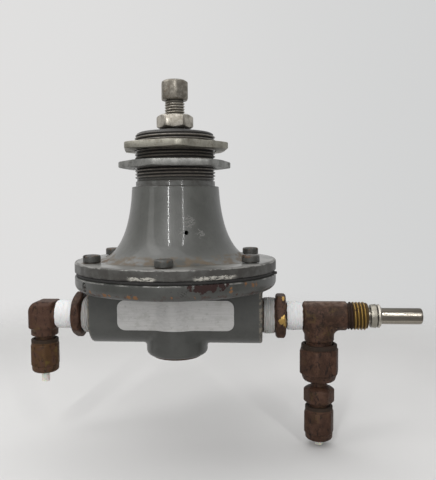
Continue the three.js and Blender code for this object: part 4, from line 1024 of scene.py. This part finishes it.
def make_bonnet_screws():
    for i, turn in enumerate((4, 35, -30, 80, 20, 50)):
        node = f"bonnet_screw_{i + 1}"
        low, high, centre = extent(node)
        seat, radius = high.z - SCREW_HEAD_H, (high.x - low.x) / 2
        blank = revolve(rounded([
            (0, low.z), (2.0, low.z, 0.4), (2.0, seat), (radius, seat, 0.25), (radius, high.z - 0.15, 1.0),
            (0.58 * radius, high.z), (0, high.z + 0.03),
        ], 5), 48)
        made = mesh_object(f"flange_screw_{i + 1}", blank, at(centre.x, centre.y, 0))
        place = at(centre.x, centre.y, 0) @ Matrix.Rotation(math.radians(turn), 4, "Z")
        carved(made, moved(box_patch((-5, -0.45, high.z - 1.1), (5, 0.45, high.z + 1)), place))
        finished(made, node, screw_finish)


# ---- Neck ----


def make_panel_nuts():
    looks = {
        "lower": (45.0, zinc("lower_nut_zinc", (0.27, 0.27, 0.255), (0.16, 0.155, 0.14), 0.02, 3)),
        "upper": (11.5, zinc("upper_nut_zinc", (0.38, 0.365, 0.31), (0.19, 0.16, 0.115), 0.05, 14)),
    }
    for side, (turn, finish) in looks.items():
        node = f"panel_nut_{side}"
        low, high, _ = extent(node)
        patch = nut(PANEL_NUT_FLATS, low.z, high.z, NECK_CREST_R + 0.12, from_front(turn), countersink=0.45,
                    faces=(0.15, 0.15), slope=0.10, edge=0.34, soften=0.45)
        piece(f"{node}_plate", patch, node, finish, body=f"{side}_panel_nut")


def make_jam_nut():
    low, high, _ = extent("jam_nut")
    patch = nut(JAM_NUT_FLATS, low.z, high.z, SCREW_CREST_R + 0.2, from_front(36), countersink=0.5,
                faces=(0.35, 0.6), slope=0.62, edge=0.2, soften=0.22)
    piece("jam_nut_hexagon", patch, "jam_nut", plated_steel_finish, body="locknut")


def make_adjusting_screw():
    low, high, _ = extent("adjusting_screw")
    head_z, corner = 102.1, from_front(14)
    side = hex_band(SCREW_HEAD_FLATS, head_z, high.z, corner, faces=(0.25, 0.9), slope=0.62, edge=0.32,
                    soften=0.3)
    head = revolve([(0, head_z)] + side + [(0, high.z)], 96, corner)
    shank = both(
        revolve([(0, low.z), (SCREW_ROOT_R - 0.5, low.z), (SCREW_ROOT_R, low.z + 0.6)], 64),
        thread(SCREW_ROOT_R, SCREW_CREST_R, SCREW_PITCH, low.z + 0.6, head_z - 0.2, 64),
        revolve([(SCREW_ROOT_R, head_z - 0.2), (SCREW_ROOT_R, head_z + 1), (0, head_z + 1)], 64),
    )
    made = combined(mesh_object("adjusting_screw_bolt", head), "UNION", shank)
    finished(made, "adjusting_screw", plated_steel_finish, body="screw")


# ---- Port fittings ----


def make_bushing(side, direction, corner, worn, seed):
    """Hexagon with a threaded shank behind it and a tapped bore."""
    node = f"{side}_bushing"
    low, high, _ = extent(node)
    inner, outer = (low.x, high.x) if side == "right" else (-high.x, -low.x)
    hex_start = {"left": 38.2, "right": 39.7}[side]
    rings = [(4.0, inner), (6.4, inner), (6.86, inner + 0.6), (6.86, hex_start)]
    rings += hex_band(BUSHING_FLATS, hex_start, outer, corner, faces=(0.35, 0.35), slope=0.55, edge=0.25,
                      soften=0.3)
    rings += [(6.0, outer), (5.5, outer - 0.5), (5.45, outer - 9), (4.0, outer - 9)]
    piece(f"{side}_reducing_bushing", ring_of(rings, 96, corner), node,
          bushing_patina(f"{side}_bushing_patina", seed, worn), at(0, 0, PORT_Z) @ direction)


def make_tape(node, direction, pitch, depth, puff, dirt_and_groove_shade, seed):
    """Tape wound on a pipe thread: the thread shows through, the edges are ragged."""
    low, high, _ = extent(node)
    start, end = (low.x, high.x) if direction is ALONG_X else (-high.x, -low.x)
    outer = (high.z - low.z) / 2
    sides, rows = 96, max(16, int((end - start) / 0.12))

    def ring(share):
        def at_angles(angles):
            along = start + (end - start) * share
            turns = along / pitch - angles / TAU
            ridge = 0.5 + 0.5 * np.cos(TAU * turns)
            swell = math.sin(math.pi * share) ** 0.5 if 0 < share < 1 else 0
            lumps = wander(angles, 2.2, 0.8 * along + seed)
            ragged = wander(angles, 3, seed + 9 * share)
            radius = outer - depth - 0.1 + (depth * ridge + puff + 0.16 * lumps) * swell
            shift = 0.30 * (0.6 + ragged) * (2 * share - 1) ** 8 * (-1 if share > 0.5 else 1)
            return radius, along + shift
        return at_angles

    inner = outer - depth - 0.4
    rings = [(inner, start + 0.5)] + [ring(k / rows) for k in range(rows + 1)] + [(inner, end - 0.5)]
    piece(f"{node}_wrap", ring_of(rings, sides), node,
          thread_tape(f"{node}_film", outer, depth, dirt_and_groove_shade, seed), at(0, 0, PORT_Z) @ direction, crisp=60)


def elbow_shape(x, y, z):
    """Forged elbow about its own centre: rounded square block, collar below, pipe stub along +X."""
    half, corner = 5.6, 3.0
    a, b = np.abs(x) - (half - corner), np.abs(y) - (half - corner)
    square = np.minimum(np.maximum(a, b), 0) + np.hypot(np.maximum(a, 0), np.maximum(b, 0)) - corner
    back_chamfer = (z - x - (2 * half - 3.0)) / math.sqrt(2)
    side_chamfers = (z + np.abs(y) - (2 * half - 1.5)) / math.sqrt(2)
    block = kept(square, np.abs(z) - half, 0.7)
    block = kept(kept(block, back_chamfer, 0.9), side_chamfers, 0.3)
    collar = puck(np.hypot(x, y), z, 5.45, -8.6, 0.0, 0.4, 0.4)
    socket = puck(np.hypot(x, y), z, SMALL_THREAD_R - 0.2, -17.2, 0.0, 0.4, 0.4)
    stub = puck(np.hypot(y, z), x, PIPE_R - 0.2, 0.0, 21.3, 0.4, 0.4)
    return np.minimum(np.minimum(joined(block, collar, 0.8), socket), stub)


def make_elbow():
    place = at(extent("left_tube_nut")[2].x, 0, PORT_Z)
    patch = cast(elbow_shape, (-5.6, -5.6, -17.2), (21.3, 5.6, 5.6), FITTING_GRID)
    made = mesh_object("left_elbow_forging", patch, place)
    carved(made, moved(rod(2.2, 0, 23), place @ ALONG_X), moved(rod(1.9, -19, 0), place))
    finished(made, "left_elbow",
             fitting_patina("elbow_patina", 0.4, 2, tint=(0.058, 0.028, 0.018)))


def tee_shape(x, y, z):
    """Forged run tee in the row frame, without its run thread."""
    branch = extent("branch_nut")[2]
    height = z - PORT_Z
    run = puck(np.hypot(y, height), x, 5.75, *TEE_BARREL, 0.8, 0.6)
    leg = puck(np.hypot(x - branch.x, y), height, 5.85, -10.0, 0.0, 0.6, 0.6)
    fillet = 0.3 + 2.0 * np.clip((5.6 - np.abs(y)) / 3.0, 0, 1)
    body = joined(run, leg, fillet)
    socket = puck(np.hypot(x - branch.x, y), height, LARGE_THREAD_R - 0.35, -19.0, 0.0, 0.4, 0.4)
    stub = puck(np.hypot(y, height), x, PIPE_R - 0.2, 36.0, 60.0, 0.4, 0.4)
    return np.minimum(np.minimum(body, socket), stub)


def make_tee():
    low, high, _ = extent("run_tee")
    branch = extent("branch_nut")[2]
    shoulder = TEE_BARREL[1]
    patch = cast(tee_shape, low, (shoulder, high.y, high.z), FITTING_GRID)
    made = mesh_object("run_tee_forging", patch)
    root = LARGE_THREAD_R - 0.6
    run_thread = both(
        revolve([(0, 62.0), (root, 62.0), (root, shoulder + 0.1)], 64),
        thread(root, LARGE_THREAD_R, LARGE_PITCH, shoulder + 0.1, high.x - 0.1, 64),
        revolve([(root, high.x - 0.1), (0, high.x - 0.1)], 64),
    )
    combined(made, "UNION", moved(run_thread, PORT_AXIS))
    tube = LARGE_TUBE_R + 0.2
    run_bore = revolve([(0, 35), (2.4, 35), (2.4, high.x - 7), (tube, high.x - 7), (tube, high.x - 0.7),
                        (tube + 1.0, high.x + 0.3), (tube + 1.0, high.x + 1), (0, high.x + 1)], 48)
    leg_bore = revolve([(0, -20), (tube, -20), (tube, -12), (2.4, -12), (2.4, 0), (0, 0)], 48)
    carved(made, moved(run_bore, PORT_AXIS), moved(leg_bore, at(branch.x, 0, PORT_Z)))
    finished(made, "run_tee", tee_patina())


def make_tube_nut(node, corner, finish, flats, collar, hex_top, hex_bottom, taper, tube):
    """Compression nut hanging from its collar: hexagon, then a rounded end round the tube."""
    low, high, centre = extent(node)
    end = low.z - high.z
    waist = (0.5 * (taper + flats / math.sqrt(3)), end + 0.22 * (hex_bottom - end), 1.5)
    rings = rounded([(tube + 0.3, end + 1.5), (tube + 0.3, end), (taper, end, 0.5), waist,
                     (collar, hex_bottom)])
    rings += hex_band(flats, hex_bottom, hex_top, corner, faces=(0.1, 0.1), slope=0.7, edge=0.3, soften=0.3)
    rings += rounded([(collar, hex_top + 0.05), (collar, 0, 0.5), (collar - 1.2, 0)])
    bore = collar - 1.3
    rings += [(bore, -0.4), (bore, end + 3.0), (tube + 0.3, end + 3.0)]
    piece(f"{node}_hexagon", ring_of(rings, 96, corner), node, finish,
          at(centre.x, centre.y, high.z))


def make_tube(node, name, radius, material):
    """Cut tube: square end with a slight burr, wall and bore."""
    low, high, centre = extent(node)
    bore = radius - 0.7
    rings = rounded([
        (bore, low.z + 0.1), (bore + 0.1, low.z, 0.08), (radius, low.z, 0.15), (radius, high.z, 0.15),
        (bore, high.z, 0.1), (bore, low.z + 1),
    ], 3)
    piece(name, ring_of(rings, 48), node, material, at(centre.x, centre.y, 0))


def make_reducer():
    low, high, centre = extent("reducer")
    hex_top, hex_bottom, corner = -12.2, -18.4, from_front(25)
    rings = [(1.9, low.z), (3.5, low.z), (3.9, low.z + 0.4), (3.9, hex_bottom - 0.05)]
    rings += hex_band(SMALL_NUT_FLATS, hex_bottom, hex_top, corner, faces=(0.3, 1.3), slope=0.5, edge=0.25,
                      soften=0.3)
    rings += rounded([
        (LARGE_TUBE_R + 0.1, hex_top, 0.4), (LARGE_TUBE_R, hex_top + 1), (LARGE_TUBE_R, high.z, 0.3),
        (1.9, high.z),
    ], 3)
    piece("reducer_body", ring_of(rings, 96, corner), "reducer",
          fitting_patina("reducer_patina", 0.2, 17), at(centre.x, centre.y, 0))


def make_run_end():
    """Ferrules and the closing rod on the tee's run."""
    tube = LARGE_TUBE_R + 0.12
    low, high, _ = extent("run_front_ferrule")
    front = rounded([(tube, low.x), (4.5, low.x, 0.2), (4.75, high.x - 0.2, 0.2), (tube, high.x)])
    silver = turned_nickel("ferrule_nickel", (0.30, 0.28, 0.235), 0.34, False)
    piece("front_ferrule_ring", ring_of(front, 64), "run_front_ferrule", silver, PORT_AXIS)

    low, high, _ = extent("run_back_ferrule")
    back = rounded([(tube, low.x), (4.5, low.x, 0.2), (4.7, high.x - 0.6, 0.25), (3.8, high.x, 0.2),
                    (tube, high.x)])
    piece("back_ferrule_ring", ring_of(back, 64), "run_back_ferrule", plated_steel_finish,
          PORT_AXIS)

    low, high, _ = extent("run_plug")
    outline = [(0, low.x), (LARGE_TUBE_R, low.x, 0.2), (LARGE_TUBE_R, high.x, 0.9), (0, high.x)]
    nickel = turned_nickel("rod_nickel", (0.44, 0.405, 0.345), 0.25, True)
    piece("closing_rod", revolve(rounded(outline, 6), 64), "run_plug", nickel, PORT_AXIS)


def make_bottom_plug():
    low, high, _ = extent("bottom_plug")
    shell = revolve(rounded([
        (0, low.z), (9.9, low.z, 0.5), (9.9, 4.3, 0.3), (5.5, 4.3, 0.3), (5.5, high.z, 0.3),
        (2.7, high.z, 0.2), (2.7, 3.5), (0, 3.5),
    ]), 72)
    made = mesh_object("bottom_plug_disc", shell)
    carved(made, *[moved(rod(1.4, -1, 2.2, 32), at(x, 0, 0)) for x in (-6, 6)])
    finished(made, "bottom_plug", fitting_patina("bottom_plug_patina", 0.3, 21))


# ---- Spring pack, diaphragm hub and valve, inside the housing ----


def coil(radius, wire, turns, bottom, top, sides=14, per_turn=40):
    """Compression spring with its end turns closed up."""
    count = int(turns * per_turn)
    share = np.arange(count + 1) / count
    closed = 1.0 / turns
    rise = np.clip((share - closed) / (1 - 2 * closed), 0, 1)
    lift = 2 * wire * (np.clip(share / closed, 0, 1) + np.clip((share - 1) / closed + 1, 0, 1)) * 0.5
    centre = bottom + wire + lift + (top - bottom - 4 * wire) * rise
    angle = TAU * turns * share
    points, faces = [], []
    for a, z in zip(angle, centre):
        for k in range(sides):
            b = TAU * k / sides
            r = radius + wire * math.cos(b)
            points.append((r * math.cos(a), r * math.sin(a), z + wire * math.sin(b)))
    for i in range(count):
        for k in range(sides):
            n = (k + 1) % sides
            faces.append((i * sides + k, i * sides + n, (i + 1) * sides + n, (i + 1) * sides + k))
    faces.append(tuple(range(sides)))
    faces.append(tuple(count * sides + k for k in range(sides)))
    return points, faces


def make_springs():
    finish = spring_steel()
    for node, wire, turns in (("range_spring", 1.3, 8), ("valve_spring", 0.4, 6)):
        low, high, _ = extent(node)
        radius = (high.x - low.x) / 2 - wire
        piece(f"{node}_coil", coil(radius, wire, turns, low.z, high.z), node, finish, crisp=50)


def make_spring_button():
    top = extent("spring_button")[1].z
    seat = top - 4.0
    button = revolve(rounded([
        (0, top - 1.3), (4.2, top - 1.3, 0.8), (6.6, seat + 0.6, 0.8), (6.6, seat - 1.2, 0.2),
        (7.6, seat - 1.2, 0.2), (7.6, seat), (11.6, seat, 0.3), (11.6, seat + 1.3, 0.3),
        (7.6, seat + 1.3, 0.8), (4.6, top, 0.8), (0, top),
    ]), 72)
    piece("spring_button_pressing", button, "spring_button", inner_zinc, body="button")


def make_diaphragm_hub():
    """Dished plate over the diaphragm, the seat that clamps it from below, and their nut."""
    low, high, _ = extent("pressure_plate")
    floor, rim = low.z + 1.5, 11.6
    plate = ring_of(rounded([
        (3.3, low.z), (24, low.z, 0.3), (24, floor, 0.4), (rim + 1.5, floor, 0.4), (rim + 1.5, high.z, 0.3),
        (rim, high.z, 0.3), (rim, floor, 0.3), (3.3, floor), (3.3, low.z + 0.8),
    ]), 96)
    piece("pressure_plate_disc", plate, "pressure_plate", inner_zinc, body="diaphragm_hub")

    low, high, _ = extent("relief_seat")
    seat_top = low.z + 1.2
    seat = ring_of(rounded([
        (0.9, low.z + 0.5), (0.9, low.z, 0.2), (14, low.z, 0.4), (14, seat_top, 0.2), (3.0, seat_top, 0.3),
        (3.0, high.z, 0.3), (0.9, high.z, 0.2), (0.9, low.z + 1),
    ]), 64)
    piece("relief_seat_hub", seat, "relief_seat", brass_finish, body="diaphragm_hub")

    low, high, _ = extent("hub_nut")
    hub = nut(10.0, low.z, high.z, 3.2, FRONT, countersink=0.3, faces=(0.1, 0.3), edge=0.15, soften=0.2)
    piece("hub_nut_hexagon", hub, "hub_nut", brass_finish, body="diaphragm_hub")


def make_valve():
    low, high, _ = extent("valve_seat")
    insert = ring_of(rounded([
        (2.4, low.z + 1), (2.4, low.z, 0.15), (3.2, low.z, 0.15), (3.7, low.z + 0.6),
        (5.7, low.z + 0.6, 0.2), (5.7, high.z, 0.4), (2.4, high.z, 0.3), (2.4, low.z + 2),
    ]), 48)
    piece("valve_seat_insert", insert, "valve_seat", brass_finish)

    low, high, _ = extent("valve_plunger")
    head = 21.0
    plunger = revolve(rounded([
        (0, low.z), (2.4, low.z, 0.4), (2.4, head - 6.5, 0.2), (5.2, head - 6.5, 0.3), (5.2, head - 1, 0.2),
        (3.8, head, 0.2), (1.2, head, 0.3), (1.2, high.z, 0.4), (0, high.z),
    ]), 48)
    piece("valve_plunger_stem", plunger, "valve_plunger", brass_finish, body="plunger")


def make_plug_seal():
    low, high, centre = extent("bottom_plug_seal")
    section = (high.z - low.z) / 2
    angles = [TAU * k / 16 for k in range(16)]
    seal = [(high.x - section + section * math.cos(a), centre.z + section * math.sin(a)) for a in angles]
    piece("plug_seal_ring", ring_of(seal, 72), "bottom_plug_seal", rubber())


def make_clamp_ferrules():
    """Ferrules hidden in the three hanging nuts."""
    for place in ("left_back", "left_front", "lower_back", "lower_front", "branch_back", "branch_front"):
        node = f"{place}_ferrule"
        low, high, centre = extent(node)
        outer = (high.x - low.x) / 2
        bore = (LARGE_TUBE_R if "branch" in place else SMALL_TUBE_R) + 0.15
        ring = rounded([
            (bore, low.z), (outer, low.z, 0.2), (outer, centre.z, 0.3), (bore + 0.6, high.z),
            (bore, high.z),
        ], 3)
        piece(f"{node}_ring", ring_of(ring, 48), node, brass_finish, at(centre.x, centre.y, 0))


# ---- Stage, light and camera ----

# Camera in metres; it looks along +Y before it is turned. Yaw is towards +X, pitch is up
CAMERA_PLACE = (0.03310, -0.22430, 0.06112)
CAMERA_YAW, CAMERA_PITCH, CAMERA_ROLL = -0.0724, -0.0641, -0.007
CAMERA_LENS, CAMERA_SENSOR = 42.196, 36.0
FLOOR_R = 900.0


def make_camera():
    data = bpy.data.cameras.new("camera")
    data.lens, data.sensor_width, data.sensor_fit = CAMERA_LENS, CAMERA_SENSOR, "AUTO"
    data.clip_start, data.clip_end = 0.01, 50
    camera = bpy.data.objects.new("camera", data)
    bpy.context.scene.collection.objects.link(camera)
    level = Matrix.Rotation(-CAMERA_YAW, 4, "Z") @ Matrix.Rotation(math.pi / 2 + CAMERA_PITCH, 4, "X")
    camera.matrix_world = at(*CAMERA_PLACE) @ level @ Matrix.Rotation(CAMERA_ROLL, 4, "Z")
    bpy.context.scene.camera = camera


def area_light(name, place, target, size, power, colour=(1, 1, 1)):
    data = bpy.data.lights.new(name, "AREA")
    data.shape, data.size, data.size_y = "RECTANGLE", size[0], size[1]
    data.energy, data.color = power, colour
    light = bpy.data.objects.new(name, data)
    bpy.context.scene.collection.objects.link(light)
    light.location = place
    aim = Vector(target) - Vector(place)
    light.rotation_mode = "QUATERNION"
    light.rotation_quaternion = aim.to_track_quat("-Z", "Y")


def make_lights():
    middle = (0.0, 0.0, 0.045)
    area_light("window_left", (-0.72, -0.50, 0.75), middle, (0.30, 1.3), 2.6, (1.0, 0.99, 0.97))
    area_light("strip_left", (-0.125, -0.70, 0.42), (0, 0, 0.10), (0.012, 0.80), 3.0)
    area_light("strip_right", (0.31, -0.64, 0.42), (0, 0, 0.10), (0.009, 0.80), 1.6)
    area_light("overhead", (-0.25, 0.05, 1.0), middle, (1.3, 1.1), 5.9)


def make_world():
    """Pale surroundings: brightest behind the part, dim in front of it and below."""
    world = bpy.data.worlds.new("studio")
    bpy.context.scene.world = world
    world.use_nodes = True
    tree = world.node_tree
    where = tree.nodes.new("ShaderNodeTexCoord")
    split = tree.nodes.new("ShaderNodeSeparateXYZ")
    tree.links.new(where.outputs["Generated"], split.inputs[0])

    def blend(axis, low, high, a, b):
        share = tree.nodes.new("ShaderNodeMapRange")
        share.interpolation_type = "SMOOTHSTEP"
        tree.links.new(split.outputs[axis], share.inputs["Value"])
        share.inputs["From Min"].default_value, share.inputs["From Max"].default_value = low, high
        mix = tree.nodes.new("ShaderNodeMix")
        mix.data_type = "RGBA"
        tree.links.new(share.outputs[0], mix.inputs[0])
        for socket, value in ((mix.inputs[6], a), (mix.inputs[7], b)):
            if isinstance(value, tuple):
                socket.default_value = (*value, 1)
            else:
                tree.links.new(value, socket)
        return mix.outputs[2]

    front = blend("Z", -0.35, 0.75, (0.09, 0.09, 0.09), (0.40, 0.40, 0.405))
    back = blend("X", -0.45, 0.40, (0.745, 0.74, 0.735), (0.64, 0.645, 0.645))
    tree.links.new(blend("Y", -0.25, 0.35, front, back), tree.nodes["Background"].inputs["Color"])


def make_floor():
    """Pale floor under the part, thinning out to the backdrop's own tone far away."""
    level = cad_box[0].z / MM - 0.6
    outline = [(0, level - 2), (FLOOR_R, level - 2), (FLOOR_R, level), (60, level), (0, level)]
    floor = mesh_object("floor", revolve(outline, 96))
    f = Finish("floor_paper", (0.60, 0.595, 0.588), 0.0, 0.85, Specular_IOR_Level=0.2)
    f.paint(f.ramp(f.noise(60, 3), 0.3, 0.7, 0, 0.5), (0.58, 0.575, 0.568))
    f.done()
    away = f.from_axis((0, 0, 0), (1, 1, 0))
    clear = f.node("ShaderNodeBsdfTransparent")
    blend = f.node("ShaderNodeMixShader")
    f.tree.links.new(f.ramp(away, 90, 420), blend.inputs[0])
    f.tree.links.new(f.shader.outputs[0], blend.inputs[1])
    f.tree.links.new(clear.outputs[0], blend.inputs[2])
    f.tree.links.new(blend.outputs[0], f.tree.nodes["Material Output"].inputs["Surface"])
    floor.data.materials.append(f.material)


# ---- Assembly ----

plated_steel_finish = plated_steel()
screw_finish = screw_paint()
brass_finish = brass()
inner_zinc = zinc("inner_zinc", (0.42, 0.41, 0.38), (0.22, 0.20, 0.16), 0.0, 40)
nylon_finish = nylon()

SMALL_NUT = dict(flats=SMALL_NUT_FLATS, collar=5.5, hex_top=-2.0, hex_bottom=-11.0, taper=4.3,
                 tube=SMALL_TUBE_R)
LARGE_NUT = dict(flats=LARGE_NUT_FLATS, collar=7.1, hex_top=-1.9, hex_bottom=-12.0, taper=4.1,
                 tube=LARGE_TUBE_R)

make_camera()
make_bonnet()
make_body()
make_passage_plug()
make_label()
make_diaphragm()
make_bonnet_screws()
make_panel_nuts()
make_jam_nut()
make_adjusting_screw()
make_bushing("left", ALONG_MINUS_X, 0.0, False, 5)
make_bushing("right", ALONG_X, math.pi / 2, True, 9)
make_tape("left_port_tape", ALONG_MINUS_X, NPT_QUARTER_PITCH / 2, 0.32, 0.02, 0.12, 2)
make_tape("left_elbow_tape", ALONG_MINUS_X, NPT_EIGHTH_PITCH, 0.10, 0.16, 0.0, 5)
make_tape("right_port_tape", ALONG_X, NPT_QUARTER_PITCH / 2, 0.32, 0.02, 0.12, 7)
make_tape("right_tee_tape", ALONG_X, NPT_EIGHTH_PITCH, 0.12, 0.14, 0.02, 11)
make_elbow()
make_tee()
# Each tube nut gets painted shadow in a band near its top, under the part above it.
make_tube_nut("left_tube_nut", from_front(16),
              fitting_patina("left_nut_patina", 0.9, 6, [(5.0, 6.4)], (0.070, 0.035, 0.014)), **SMALL_NUT)
make_tube_nut("branch_nut", from_front(-12),
              fitting_patina("branch_nut_patina", 0.1, 11, [(3.6, 5.6)]), **LARGE_NUT)
make_tube_nut("lower_tube_nut", from_front(-17),
              fitting_patina("lower_nut_patina", 0.25, 14, [(-21.0, -19.7)]), **SMALL_NUT)
make_reducer()
make_tube("left_tube", "left_tube_stub", SMALL_TUBE_R, nylon_finish)
make_tube("lower_tube", "lower_tube_stub", SMALL_TUBE_R, nylon_finish)
make_run_end()
make_bottom_plug()
make_springs()
make_spring_button()
make_diaphragm_hub()
make_valve()
make_plug_seal()
make_clamp_ferrules()
make_floor()
make_lights()
make_world()
bpy.context.scene.view_settings.view_transform = "Standard"
